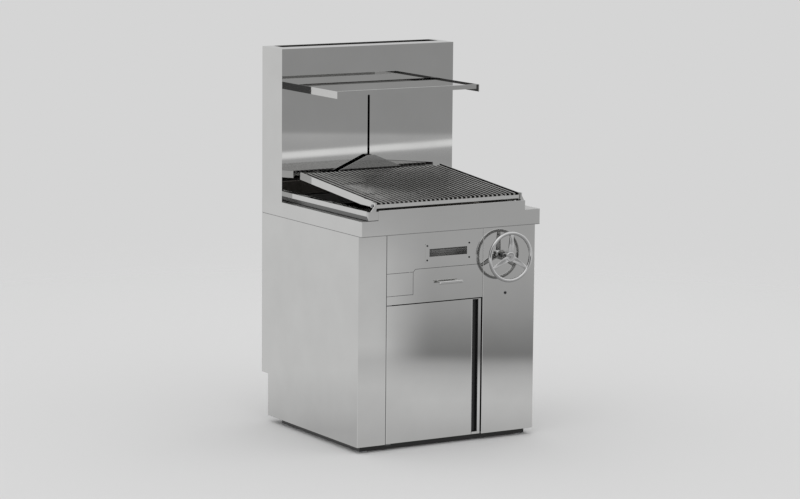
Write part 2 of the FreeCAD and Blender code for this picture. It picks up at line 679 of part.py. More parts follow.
def firebricks():
    """Bricks stand on the fire grate's edge, along the left, right and front walls."""
    play = 0.5
    x0, x1 = FIRE_LEFT + FIREBOX_WALL + play, FIRE_RIGHT - FIREBOX_WALL - play
    y0, y1 = FIRE_FRONT + FIREBOX_WALL + play, FIRE_REAR - FIREBOX_WALL - play
    z0, z1 = FIRE_GRATE_TOP, FIRE_GRATE_TOP + BRICK_HEIGHT
    bricks = []
    length = (y1 - y0) / BRICKS_PER_SIDE
    for i in range(BRICKS_PER_SIDE):
        start, end = y0 + i * length, y0 + (i + 1) * length - play
        bricks.append(box(x0, x0 + BRICK_THICKNESS, start, end, z0, z1))
        bricks.append(box(x1 - BRICK_THICKNESS, x1, start, end, z0, z1))
    inner0, inner1 = x0 + BRICK_THICKNESS + play, x1 - BRICK_THICKNESS - play
    length = (inner1 - inner0) / BRICKS_PER_SIDE
    for i in range(BRICKS_PER_SIDE):
        start, end = inner0 + i * length, inner0 + (i + 1) * length - play
        bricks.append(box(start, end, y0, y0 + BRICK_THICKNESS, z0, z1))
    return bricks


# Tilting grate

def tilted(shape):
    turned = shape.copy()
    turned.rotate(Vec(0, FRONT, PIN_Z), Vec(1, 0, 0), REST_TILT)
    return turned


def grate_frame():
    bar_seat = GRATE_TOP - GRATE_BAR
    inner0, inner1 = GRATE_X0 + GRATE_RAIL, GRATE_X1 - GRATE_RAIL
    left = box(GRATE_X0, inner0, GRATE_Y0, GRATE_Y1, GRATE_BOTTOM, GRATE_TOP)
    right = box(inner1, GRATE_X1, GRATE_Y0, GRATE_Y1, GRATE_BOTTOM, GRATE_TOP)
    front = box(inner0, inner1, GRATE_Y0, GRATE_Y0 + GRATE_RAIL, GRATE_BOTTOM + GRATE_FRONT_CUT, bar_seat)
    rear = box(inner0, inner1, GRATE_Y1 - GRATE_RAIL, GRATE_Y1, GRATE_BOTTOM, bar_seat)
    pieces = [left, right, front, rear]
    for share in (1 / 3, 2 / 3, 1 - 0.07):
        y = GRATE_Y0 + GRATE_LENGTH * share
        pieces.append(box(inner0, inner1, y - CROSS_BAR / 2, y + CROSS_BAR / 2, bar_seat - CROSS_BAR, bar_seat))
    frame = fuse(pieces)
    bores = [rod(PIN_RADIUS, Vec(x, FRONT, PIN_Z), Vec(1, 0, 0), GRATE_RAIL)
             for x in (GRATE_X0, inner1)]
    return tilted(frame.cut(bores))


def grate_bars():
    inner0, inner1 = GRATE_X0 + GRATE_RAIL, GRATE_X1 - GRATE_RAIL
    count = int((inner1 - inner0 - GRATE_BAR) // GRATE_BAR_PITCH)
    first = (inner0 + inner1) / 2 - (count - 1) * GRATE_BAR_PITCH / 2
    half = GRATE_BAR / 2
    bars = []
    for i in range(count):
        x = first + i * GRATE_BAR_PITCH
        bar = box(x - half, x + half, GRATE_Y0, GRATE_Y1 - GRATE_REAR_SLOT, GRATE_TOP - GRATE_BAR, GRATE_TOP)
        crown = GRATE_BAR * 0.35
        bar = rounded(bar, crown, lambda e: abs(e.BoundBox.ZMin - GRATE_TOP) < 0.01 and e.Length > GRATE_BAR * 2)
        bars.append(tilted(bar))
    return bars


def pivot_pins():
    pins = []
    head_radius, head = PIN_RADIUS * 1.6, PIN_RADIUS * 0.75
    for rail, side in ((GRATE_X0, -1), (GRATE_X1, 1)):
        outer = rail + side * (EAR_GAP + EAR_PLATE + LIFT_CLEARANCE)
        inner = rail - side * GRATE_RAIL
        along = Vec(-side, 0, 0)
        pin = rod(PIN_RADIUS, Vec(outer, FRONT, PIN_Z), along, abs(outer - inner))
        cap = rod(head_radius, Vec(outer + side * head, FRONT, PIN_Z), along, head)
        pins.append(tilted(fuse([pin, cap])))
    return pins


# Tower

def tower_casing():
    line = [(LEFT, TOWER_FRONT), (LEFT, REAR), (TOWER_RIGHT, REAR), (TOWER_RIGHT, TOWER_FRONT)]
    casing = bent_sheet(line[::-1], SHEET, "z", TOP, TOWER_TOP)
    for x, y in ((LEFT, REAR), (TOWER_RIGHT, REAR), (LEFT, TOWER_FRONT), (TOWER_RIGHT, TOWER_FRONT)):
        casing = rounded(casing, SHEET * 0.45, upright_at(x, y))
    return casing


def tower_front():
    x0, x1 = LEFT + SHEET, TOWER_RIGHT - SHEET
    y0 = TOWER_FRONT
    line = [(x0, y0 + TOWER_RETURN), (x0, y0), (x1, y0), (x1, y0 + TOWER_RETURN)]
    sheet = bent_sheet(line, SHEET, "z", TOP, TOWER_TOP)
    half = SLOT_WIDTH / 2
    slot = box(TOWER_MIDDLE - half, TOWER_MIDDLE + half, y0, y0 + SHEET, TOP + SLOT_BOTTOM, TOP + SLOT_TOP - half)
    end = rod(half, Vec(TOWER_MIDDLE, y0, TOP + SLOT_TOP - half), Vec(0, 1, 0), SHEET)
    bolts = [rod(BOLT_RADIUS / 2, Vec(x, y0, z), Vec(0, 1, 0), SHEET) for x, z in shelf_bolt_places()]
    return sheet.cut([slot, end] + bolts)


FLUE_REAR = REAR - FLUE_REAR_LIP
FLUE_FRONT = FLUE_REAR - FLUE_DEPTH


def tower_top():
    x0, x1 = LEFT + SHEET, TOWER_RIGHT - SHEET
    y0, y1 = TOWER_FRONT + SHEET, REAR - SHEET
    cap = box(x0, x1, y0, y1, TOWER_TOP - SHEET, TOWER_TOP)
    corners = box(x0, x0 + SHEET, y0, y0 + TOWER_RETURN, TOWER_TOP - SHEET, TOWER_TOP)
    other = box(x1 - SHEET, x1, y0, y0 + TOWER_RETURN, TOWER_TOP - SHEET, TOWER_TOP)
    mouth = box(LEFT + FLUE_LEFT, TOWER_RIGHT - FLUE_RIGHT, FLUE_FRONT, FLUE_REAR, TOWER_TOP - SHEET, TOWER_TOP)
    return cap.cut([corners, other, mouth])


def flue_baffle():
    y = FLUE_FRONT - SHEET
    return box(LEFT + SHEET, TOWER_RIGHT - SHEET, y, y + SHEET, TOP, TOWER_TOP - SHEET)


# Shelf

SHELF_X0 = LEFT + SHELF_LEFT
SHELF_X1 = SHELF_X0 + SHELF_WIDTH
SHELF_Z = TOP + SHELF_TOP
SHELF_FRONT = TOWER_FRONT - SHELF_DEPTH


def shelf_bolt_places():
    z = SHELF_Z - ARM_HEIGHT * 0.7
    inset = ARM_THICKNESS + SHELF_FLANGE / 2
    return [(SHELF_X0 + inset, z), (SHELF_X1 - inset, z)]


def shelf_arms():
    arms = []
    z0, z1 = SHELF_Z - ARM_HEIGHT, SHELF_Z
    back = TOWER_FRONT - ARM_THICKNESS
    for x, side in ((SHELF_X0, 1), (SHELF_X1, -1)):
        inner = x + side * ARM_THICKNESS
        arm = box(min(x, inner), max(x, inner), SHELF_FRONT, TOWER_FRONT, z0, z1)
        tip = inner + side * SHELF_FLANGE
        flange = box(min(inner, tip), max(inner, tip), back, TOWER_FRONT, z0, z1)
        arms.append(fuse([arm, flange]))
    holes = [rod(BOLT_RADIUS / 2, Vec(x, back, z), Vec(0, 1, 0), ARM_THICKNESS) for x, z in shelf_bolt_places()]
    return [arm.cut(holes) for arm in arms]


def shelf_plate():
    z = SHELF_Z - SHELF_DROP
    x0, x1 = SHELF_X0 + ARM_THICKNESS, SHELF_X1 - ARM_THICKNESS
    back = TOWER_FRONT - SHELF_SLOT
    lip = SHELF_FRONT + SHELF_LIP_SETBACK
    front = box(x0, x1, lip, lip + SHEET, z - SHELF_LIP, SHELF_Z)
    plate = box(x0, x1, lip, back, z - SHEET, z)
    rear = box(x0, x1, back - SHEET, back, z - SHELF_LIP, z)
    tray = fuse([front, plate, rear])
    return rounded(tray, SHEET * 0.4, lambda e: e.Length > SHELF_WIDTH / 2
                   and abs(e.BoundBox.ZMax - SHELF_Z) < 0.01 and abs(e.BoundBox.YMax - lip) < 0.01)


def shelf_bolts():
    bolts = []
    for x, z in shelf_bolt_places():
        head_front = TOWER_FRONT - ARM_THICKNESS - BOLT_HEAD
        head = rod(BOLT_RADIUS, Vec(x, head_front, z), Vec(0, 1, 0), BOLT_HEAD)
        shank = rod(BOLT_RADIUS / 2, Vec(x, TOWER_FRONT - ARM_THICKNESS, z), Vec(0, 1, 0),
                    ARM_THICKNESS + SHEET * 3)
        nut = rod(BOLT_RADIUS, Vec(x, TOWER_FRONT + SHEET, z), Vec(0, 1, 0), BOLT_HEAD)
        bolts.append(fuse([head, shank, nut]))
    return bolts


# Lift in the tower. The grate's rear rail lies on the yoke's two prongs. The carriage climbs in
# proportion to the tilt, so it meets the rail at both ends of the travel and stays just under it
# in between.

def rail_height(degrees):
    """Lowest line of the grate's rear rail above the tilt axis."""
    angle = math.radians(degrees)
    reach = GRATE_Y1 - GRATE_RAIL - FRONT
    return reach * math.sin(angle) - GRATE_HEIGHT / 2 * math.cos(angle)


LIFT_PER_DEGREE = (rail_height(TILT_MAX) - rail_height(0)) / TILT_MAX
PRONG_TOP = PIN_Z + rail_height(0) + REST_TILT * LIFT_PER_DEGREE - LIFT_CLEARANCE
YOKE_FRONT = GRATE_Y1 + YOKE_GAP
YOKE_BOTTOM = PRONG_TOP - YOKE_PLATE
YOKE_TOP = YOKE_BOTTOM + YOKE_HEIGHT
ROD_Y = TOWER_FRONT + ROD_SETBACK
BLADE_TOP = YOKE_TOP - BLADE_DROP
CROSSHEAD_TOP = BLADE_TOP
CROSSHEAD_BOTTOM = CROSSHEAD_TOP - CROSSHEAD_HEIGHT
CROSSHEAD_FRONT = ROD_Y - CROSSHEAD_DEPTH / 2


def lift_yoke():
    half = YOKE_HALF_WIDTH
    top = YOKE_TOP_WIDTH / 2
    m = TOWER_MIDDLE
    outline = [(m - half, YOKE_BOTTOM), (m + half, YOKE_BOTTOM), (m + half, YOKE_BOTTOM + YOKE_SHOULDER),
               (m + top, YOKE_TOP), (m - top, YOKE_TOP), (m - half, YOKE_BOTTOM + YOKE_SHOULDER)]
    plate = prism(outline, "y", YOKE_FRONT, YOKE_FRONT + YOKE_PLATE)
    prongs = []
    for side in (-1, 1):
        x = m + side * PRONG_SPACING / 2
        prongs.append(box(x - PRONG_WIDTH / 2, x + PRONG_WIDTH / 2, YOKE_FRONT - PRONG_LENGTH, YOKE_FRONT,
                          YOKE_BOTTOM, PRONG_TOP))
    return fuse([plate] + prongs)


def lift_arm():
    half = ARM_BLADE / 2
    return box(TOWER_MIDDLE - half, TOWER_MIDDLE + half, YOKE_FRONT + YOKE_PLATE, CROSSHEAD_FRONT,
               BLADE_TOP - BLADE_HEIGHT, BLADE_TOP)


ROD_X = (TOWER_MIDDLE - ROD_SPACING / 2, TOWER_MIDDLE + ROD_SPACING / 2)
BUSH_OUTER = ROD_RADIUS + BUSH_WALL
PITCH_RADIUS = TOOTH_MODULE * PINION_TEETH / 2
PITCH_LINE = WHEEL_X - PITCH_RADIUS
RACK_ROOT = PITCH_LINE - TOOTH_MODULE
GEAR_Y0 = ROD_Y - GEAR_WIDTH / 2


def crosshead():
    x0 = ROD_X[0] - CROSSHEAD_MARGIN
    x1 = RACK_ROOT
    block = box(x0, x1, CROSSHEAD_FRONT, CROSSHEAD_FRONT + CROSSHEAD_DEPTH, CROSSHEAD_BOTTOM, CROSSHEAD_TOP)
    seats = [rod(BUSH_OUTER, Vec(x, ROD_Y, CROSSHEAD_BOTTOM), Vec(0, 0, 1), CROSSHEAD_HEIGHT) for x in ROD_X]
    foot = box(RACK_ROOT - RACK_BODY, RACK_ROOT, GEAR_Y0, GEAR_Y0 + GEAR_WIDTH, CROSSHEAD_BOTTOM, CROSSHEAD_TOP)
    return block.cut(seats + [foot])


def guide_bushes():
    return [rod(BUSH_OUTER, Vec(x, ROD_Y, CROSSHEAD_BOTTOM), Vec(0, 0, 1), CROSSHEAD_HEIGHT).cut(
            rod(ROD_RADIUS + RUNNING_CLEARANCE, Vec(x, ROD_Y, CROSSHEAD_BOTTOM), Vec(0, 0, 1), CROSSHEAD_HEIGHT))
            for x in ROD_X]


def guide_rods():
    return [rod(ROD_RADIUS, Vec(x, ROD_Y, TOP), Vec(0, 0, 1), ROD_TOP) for x in ROD_X]


def guide_brackets():
    """Blocks behind the tower's front that hold the rods at the foot and at the top."""
    x0, x1 = ROD_X[0] - CROSSHEAD_MARGIN, ROD_X[1] + CROSSHEAD_MARGIN
    y0, y1 = TOWER_FRONT + SHEET, ROD_Y + CROSSHEAD_DEPTH / 2
    brackets = []
    for z in (TOP, TOP + ROD_TOP - BRACKET_PLATE):
        block = box(x0, x1, y0, y1, z, z + BRACKET_PLATE)
        bores = [rod(ROD_RADIUS, Vec(x, ROD_Y, z), Vec(0, 0, 1), BRACKET_PLATE) for x in ROD_X]
        brackets.append(block.cut(bores))
    return brackets


TOOTH_PITCH = math.pi * TOOTH_MODULE
ADDENDUM = 0.8 * TOOTH_MODULE
DEDENDUM = TOOTH_MODULE
FLANK = math.tan(math.radians(20))


def rack():
    """A bar hanging from the crosshead, toothed on the side that meets the pinion."""
    half = TOOTH_PITCH / 4 - BACKLASH / 2
    below = int(math.ceil((TILT_MAX - REST_TILT) * LIFT_PER_DEGREE / TOOTH_PITCH)) + 2
    first = WHEEL_Z - below * TOOTH_PITCH
    teeth = []
    for i in range(RACK_TEETH):
        z = first + i * TOOTH_PITCH
        root, tip = half + DEDENDUM * FLANK, half - ADDENDUM * FLANK
        teeth.append(prism([(RACK_ROOT, z - root), (PITCH_LINE + ADDENDUM, z - tip),
                            (PITCH_LINE + ADDENDUM, z + tip), (RACK_ROOT, z + root)],
                           "y", GEAR_Y0, GEAR_Y0 + GEAR_WIDTH))
    body = box(RACK_ROOT - RACK_BODY, RACK_ROOT, GEAR_Y0, GEAR_Y0 + GEAR_WIDTH,
               first - TOOTH_PITCH, CROSSHEAD_TOP)
    return fuse([body] + teeth)


def rack_guide():
    """A block on the bulkhead that backs the rack opposite the pinion."""
    x1 = RACK_ROOT - RACK_BODY - LIFT_CLEARANCE
    return box(x1 - GUIDE_BLOCK, x1, BULKHEAD_BACK, GEAR_Y0 + GEAR_WIDTH, WHEEL_Z - GUIDE_BLOCK * 1.5,
               WHEEL_Z + GUIDE_BLOCK * 1.5)


def pinion():
    """Meshes at rest: a gap of the pinion faces the rack tooth level with the shaft."""
    tip_radius = PITCH_RADIUS + ADDENDUM
    root_radius = PITCH_RADIUS - DEDENDUM
    step = 2 * math.pi / PINION_TEETH
    half_pitch = step / 4 - BACKLASH / 2 / PITCH_RADIUS
    half_root = half_pitch + DEDENDUM * FLANK / PITCH_RADIUS
    half_tip = half_pitch - ADDENDUM * FLANK * 1.35 / PITCH_RADIUS
    points = []
    for i in range(PINION_TEETH):
        middle = math.pi + (i + 0.5) * step
        for radius, offset in ((root_radius, -half_root), (tip_radius, -half_tip),
                               (tip_radius, half_tip), (root_radius, half_root)):
            angle = middle + offset
            points.append((WHEEL_X + radius * math.cos(angle), WHEEL_Z + radius * math.sin(angle)))
    wheel = prism(points, "y", GEAR_Y0, GEAR_Y0 + GEAR_WIDTH)
    return wheel.cut(rod(SHAFT_RADIUS, Vec(WHEEL_X, GEAR_Y0, WHEEL_Z), Vec(0, 1, 0), GEAR_WIDTH))


def drive_shaft():
    start = WHEEL_Y - HUB_NOSE
    return rod(SHAFT_RADIUS, Vec(WHEEL_X, start, WHEEL_Z), Vec(0, 1, 0), GEAR_Y0 + GEAR_WIDTH - start)


def shaft_bearings():
    bearings = []
    for y in (FRONT + SHEET, BULKHEAD_BACK):
        flange = rod(BEARING_RADIUS, Vec(WHEEL_X, y, WHEEL_Z), Vec(0, 1, 0), BEARING_LENGTH * 0.4)
        collar = rod(BEARING_RADIUS * 0.7, Vec(WHEEL_X, y, WHEEL_Z), Vec(0, 1, 0), BEARING_LENGTH)
        bore = rod(SHAFT_RADIUS + RUNNING_CLEARANCE, Vec(WHEEL_X, y, WHEEL_Z), Vec(0, 1, 0), BEARING_LENGTH)
        bearings.append(fuse([flange, collar]).cut(bore))
    return bearings


def handwheel():
    centre = Vec(WHEEL_X, WHEEL_Y, WHEEL_Z)
    rim = Part.makeTorus(WHEEL_RADIUS, WHEEL_TUBE, centre, Vec(0, 1, 0))
    hub_start = WHEEL_Y - HUB_NOSE
    hub = rod(HUB_RADIUS, Vec(WHEEL_X, hub_start, WHEEL_Z), Vec(0, 1, 0), HUB_LENGTH)
    hub = rounded(hub, BEND_RADIUS, lambda e: abs(e.BoundBox.YMax - hub_start) < 0.01)
    pieces = [rim, hub]
    inner, outer = HUB_RADIUS * 0.5, WHEEL_RADIUS
    half = SPOKE_THICKNESS / 2
    for degrees in (90, 210, 330):
        angle = math.radians(degrees)
        along = (math.cos(angle), math.sin(angle))
        across = (-along[1], along[0])
        corners = []
        for reach, width in ((inner, -SPOKE_ROOT), (outer, -SPOKE_TIP), (outer, SPOKE_TIP), (inner, SPOKE_ROOT)):
            corners.append((WHEEL_X + along[0] * reach + across[0] * width / 2,
                            WHEEL_Z + along[1] * reach + across[1] * width / 2))
        pieces.append(prism(corners, "y", WHEEL_Y - half, WHEEL_Y + half))
    wheel = fuse(pieces)
    return wheel.cut(rod(SHAFT_RADIUS, Vec(WHEEL_X, hub_start, WHEEL_Z), Vec(0, 1, 0), HUB_LENGTH))


def wheel_screw():
    """Washer and screw that hold the wheel on the shaft's end."""
    start = WHEEL_Y - HUB_NOSE
    washer = rod(SHAFT_RADIUS * 1.3, Vec(WHEEL_X, start - 1.5, WHEEL_Z), Vec(0, 1, 0), 1.5)
    tip = Vec(WHEEL_X, start - WHEEL_SCREW_HEIGHT, WHEEL_Z)
    head = rod(WHEEL_SCREW_RADIUS, tip, Vec(0, 1, 0), WHEEL_SCREW_HEIGHT)
    socket = rod(WHEEL_SCREW_RADIUS / 2, tip, Vec(0, 1, 0), WHEEL_SCREW_HEIGHT / 2)
    return fuse([washer, head]).cut(socket)


# Door

def pivot_place():
    return DOOR_LEFT + PIVOT_OFFSET, FRONT + PIVOT_OFFSET


def pivot_bores():
    x, y = pivot_place()
    radius = PIVOT_RADIUS + RUNNING_CLEARANCE
    depth = PIVOT_DEPTH + 1
    return [rod(radius, Vec(x, y, DOOR_BOTTOM), Vec(0, 0, 1), depth),
            rod(radius, Vec(x, y, DOOR_TOP - depth), Vec(0, 0, 1), depth)]


PULL_LEFT = DOOR_RIGHT - PULL_LIP - PULL_RECESS
LINER_FRONT = FRONT + FRONT_THICKNESS - SHEET


def door_skin():
    pan = box(DOOR_LEFT, PULL_LEFT, FRONT, LINER_FRONT, DOOR_BOTTOM, DOOR_TOP)
    pan = rounded(pan, SHEET, upright_at(DOOR_LEFT, FRONT))
    pan = rounded(pan, PULL_EDGE, upright_at(PULL_LEFT, FRONT))
    hollow = box(DOOR_LEFT + SHEET, PULL_LEFT - SHEET, FRONT + SHEET, LINER_FRONT,
                 DOOR_BOTTOM + SHEET, DOOR_TOP - SHEET)
    x, y = pivot_place()
    block = PIVOT_OFFSET + PIVOT_RADIUS
    depth = PIVOT_DEPTH + 4
    bushes = [box(DOOR_LEFT + 0.5, DOOR_LEFT + block + 3, FRONT + 0.5, FRONT + block + 3, z, z + depth)
              for z in (DOOR_BOTTOM + 0.5, DOOR_TOP - 0.5 - depth)]
    shell = pan.cut(hollow)
    return fuse([shell] + [b.common(pan) for b in bushes]).cut(pivot_bores())


def door_liner():
    return box(DOOR_LEFT, DOOR_RIGHT - SHEET, LINER_FRONT, FRAME_FRONT, DOOR_BOTTOM, DOOR_TOP)


def door_pull():
    """Full-height finger recess with a lip, folded from one strip and capped at both ends."""
    lip = DOOR_RIGHT - PULL_LIP
    back = LINER_FRONT - SHEET
    line = [(PULL_LEFT, FRONT + PULL_EDGE), (PULL_LEFT, back), (lip + SHEET, back), (lip + SHEET, FRONT + SHEET),
            (DOOR_RIGHT - SHEET, FRONT + SHEET), (DOOR_RIGHT - SHEET, FRAME_FRONT)]
    strip = bent_sheet(line, -SHEET, "z", DOOR_BOTTOM, DOOR_TOP)
    cap = box(PULL_LEFT, DOOR_RIGHT, FRONT + SHEET / 2, back, DOOR_BOTTOM, DOOR_BOTTOM + PULL_CAP)
    top = box(PULL_LEFT, DOOR_RIGHT, FRONT + SHEET / 2, back, DOOR_TOP - SHEET, DOOR_TOP)
    return fuse([strip, cap, top])


def door_hinges():
    """Top and bottom pivot plates, fixed to the body, each with its pin."""
    x, y = pivot_place()
    x0 = DOOR_LEFT
    y0, y1 = FRONT + 1, FRONT + HINGE_LENGTH
    low = box(x0, x0 + HINGE_WIDTH, y0, FRONT + PLINTH_INSET - 1, BOTTOM - HINGE_PLATE, BOTTOM)
    low_pin = rod(PIVOT_RADIUS, Vec(x, y, BOTTOM), Vec(0, 0, 1), GAP + PIVOT_DEPTH)
    z0 = UPPER_BOTTOM - HINGE_PLATE - 1
    high = box(x0, x0 + HINGE_WIDTH, y0, y1, z0, z0 + HINGE_PLATE)
    riser = box(x0, x0 + HINGE_WIDTH, FRAME_BACK + 2, y1, z0 + HINGE_PLATE, UPPER_BOTTOM)
    high_pin = rod(PIVOT_RADIUS, Vec(x, y, DOOR_TOP - PIVOT_DEPTH), Vec(0, 0, 1),
                   z0 - DOOR_TOP + PIVOT_DEPTH)
    return [fuse([low, low_pin]), fuse([high, riser, high_pin])]


def door_catch():
    """Magnet on the compartment wall that the door's edge closes against."""
    middle = (DOOR_BOTTOM + DOOR_TOP) / 2
    return box(CONTROL_LEFT - 14, CONTROL_LEFT, FRAME_FRONT + SLIDE_CLEARANCE, FRAME_FRONT + 28,
               middle - 20, middle + 20)


# Ash drawer

BOX_LEFT = DRAWER_LEFT + DRAWER_SIDE_GAP
BOX_RIGHT = DRAWER_RIGHT - DRAWER_SIDE_GAP
BOX_BOTTOM = DECK_TOP + DRAWER_BOX_LIFT
BOX_TOP = BOX_BOTTOM + DRAWER_BOX_HEIGHT
BOX_FRONT = FRONT + DRAWER_FRONT_THICKNESS
BOX_BACK = BULKHEAD - DRAWER_BACK_SPACE
SLIDE_BOTTOM = DECK_TOP + SLIDE_LIFT


def drawer_front():
    x0 = STILE_EDGE + GAP

    def outline(inset):
        chamfer = DRAWER_CHAMFER
        return [(x0 + inset, UPPER_BOTTOM + inset), (DRAWER_RIGHT - inset, UPPER_BOTTOM + inset),
                (DRAWER_RIGHT - inset, DRAWER_TOP - inset), (DRAWER_LEFT + chamfer + inset, DRAWER_TOP - inset),
                (DRAWER_LEFT + inset, DRAWER_TOP - chamfer - inset), (DRAWER_LEFT + inset, STRIP_TOP - inset),
                (x0 + inset, STRIP_TOP - inset)]

    solid = prism(outline(0), "y", FRONT, BOX_FRONT)
    hollow = prism(outline(SHEET), "y", FRONT + SHEET, BOX_FRONT - SHEET)
    return solid.cut(hollow)


def drawer_box():
    outer = box(BOX_LEFT, BOX_RIGHT, BOX_FRONT, BOX_BACK, BOX_BOTTOM, BOX_TOP)
    inner = box(BOX_LEFT + SHEET, BOX_RIGHT - SHEET, BOX_FRONT + SHEET, BOX_BACK - SHEET,
                BOX_BOTTOM + SHEET, BOX_TOP)
    slides = []
    for x in (BOX_LEFT - SLIDE_WIDTH, BOX_RIGHT):
        slides.append(box(x, x + SLIDE_WIDTH, FRAME_BACK + 5, BOX_BACK, SLIDE_BOTTOM, SLIDE_BOTTOM + SLIDE_HEIGHT))
    return fuse([outer.cut(inner)] + slides)


def drawer_handle():
    x = (DRAWER_LEFT + DRAWER_RIGHT) / 2
    z = UPPER_BOTTOM + HANDLE_RISE
    y0 = FRONT - HANDLE_STANDOFF
    bar = box(x - HANDLE_LENGTH / 2, x + HANDLE_LENGTH / 2, y0, y0 + HANDLE_DEPTH,
              z - HANDLE_HEIGHT / 2, z + HANDLE_HEIGHT / 2)
    bar = rounded(bar, HANDLE_DEPTH * 0.4, lambda e: True)
    inset = HANDLE_LENGTH / 2 - HANDLE_HEIGHT
    posts = [rod(HANDLE_POST_RADIUS, Vec(x + side * inset, y0 + HANDLE_DEPTH / 2, z), Vec(0, 1, 0),
                 HANDLE_STANDOFF - HANDLE_DEPTH / 2) for side in (-1, 1)]
    return fuse([bar] + posts)


def drawer_runners():
    """Channels on the deck that the drawer's slides run in."""
    runners = []
    low = SLIDE_BOTTOM - SLIDE_CLEARANCE
    high = SLIDE_BOTTOM + SLIDE_HEIGHT + SLIDE_CLEARANCE
    for inner, side in ((BOX_LEFT, -1), (BOX_RIGHT, 1)):
        near = inner + side * 2
        web = inner + side * (SLIDE_WIDTH + 1)
        outer = web + side * SHEET
        y0, y1 = FRAME_BACK, BULKHEAD
        lower = box(min(near, web), max(near, web), y0, y1, low - SHEET, low)
        upper = box(min(near, web), max(near, web), y0, y1, high, high + SHEET)
        wall = box(min(web, outer), max(web, outer), y0, y1, DECK_TOP, high + SHEET)
        runners.append(fuse([wall, lower, upper]))
    return runners


# Button

def push_button():
    start = FRONT - BUTTON_PROUD - BUSH_PROUD
    cap = rod(BUTTON_RADIUS, Vec(BUTTON_X, start, BUTTON_Z), Vec(0, 1, 0), BUTTON_LENGTH)
    return rounded(cap, 1.0, lambda e: abs(e.BoundBox.YMax - start) < 0.01)


def button_switch():
    """Bush through the panel with the switch body behind it."""
    start = FRONT - BUSH_PROUD
    ring = rod(BUSH_RADIUS, Vec(BUTTON_X, start, BUTTON_Z), Vec(0, 1, 0), BUSH_PROUD)
    barrel = rod(BUSH_RADIUS - 1, Vec(BUTTON_X, FRONT, BUTTON_Z), Vec(0, 1, 0), SHEET)
    body = rod(BUSH_RADIUS + 3, Vec(BUTTON_X, FRONT + SHEET, BUTTON_Z), Vec(0, 1, 0), SWITCH_LENGTH)
    depth = BUTTON_LENGTH - BUTTON_PROUD + BUTTON_TRAVEL + 0.5
    bore = rod(BUTTON_RADIUS + RUNNING_CLEARANCE, Vec(BUTTON_X, start, BUTTON_Z), Vec(0, 1, 0), depth)
    return fuse([ring, barrel, body]).cut(bore)


export("levelling_feet", *levelling_feet())
export("plinth_frame", plinth_frame())
export("base_pan", base_pan())
export("side_panel_left", side_panel_left())
export("side_panel_right", side_panel_right())
export("rear_panel", rear_panel())
export("control_panel", control_panel())
export("compartment_wall", compartment_wall())
export("cupboard_deck", cupboard_deck())
export("service_bulkhead", service_bulkhead())
export("upper_front_panel", upper_front_panel())
export("front_frame", front_frame())
export("access_cover", access_cover())
export("vent_plate", vent_plate())
export("vent_grille", vent_grille())
export("vent_screws", *vent_screws())
export("air_duct", air_duct())
export("worktop", worktop())
export("gutter_left", gutter_left())
export("gutter_right", gutter_right())
export("gutter_front", gutter_front())
export("corner_blocks", *corner_blocks())
export("pivot_brackets", *pivot_brackets())
export("firebox", firebox())
export("fire_grate", fire_grate())
export("firebricks", *firebricks())
export("grate_frame", grate_frame())
export("grate_bars", *grate_bars())
export("pivot_pins", *pivot_pins())
export("tower_casing", tower_casing())
export("tower_front", tower_front())
export("tower_top", tower_top())
export("flue_baffle", flue_baffle())
export("shelf_arms", *shelf_arms())
export("shelf_plate", shelf_plate())
export("shelf_bolts", *shelf_bolts())
export("lift_yoke", lift_yoke())
export("lift_arm", lift_arm())
export("crosshead", crosshead())
export("guide_bushes", *guide_bushes())
export("guide_rods", *guide_rods())
export("guide_brackets", *guide_brackets())
export("rack", rack())
export("rack_guide", rack_guide())
export("pinion", pinion())
export("drive_shaft", drive_shaft())
export("shaft_bearings", *shaft_bearings())
export("handwheel", handwheel())
export("wheel_screw", wheel_screw())
export("door_skin", door_skin())
export("door_liner", door_liner())
export("door_pull", door_pull())
export("door_hinges", *door_hinges())
export("door_catch", door_catch())
export("drawer_front", drawer_front())
export("drawer_box", drawer_box())
export("drawer_handle", drawer_handle())
export("drawer_runners", *drawer_runners())
export("push_button", push_button())
export("button_switch", button_switch())
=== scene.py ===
# %% [markdown]
# # A commercial charcoal grill, dressed for a studio picture
#
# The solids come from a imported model, already in metres and in their right places.
# This notebook gives every one of them a finish, remakes the few pieces whose detail
# matters up close, and sets up the floor, the light and the camera.
# We keep the model's own box from the start, so that at the end we can see that the
# dressed object is no larger than the solids.

# %% Load the solids
import math

import bmesh
import bpy
from mathutils import Matrix, Vector


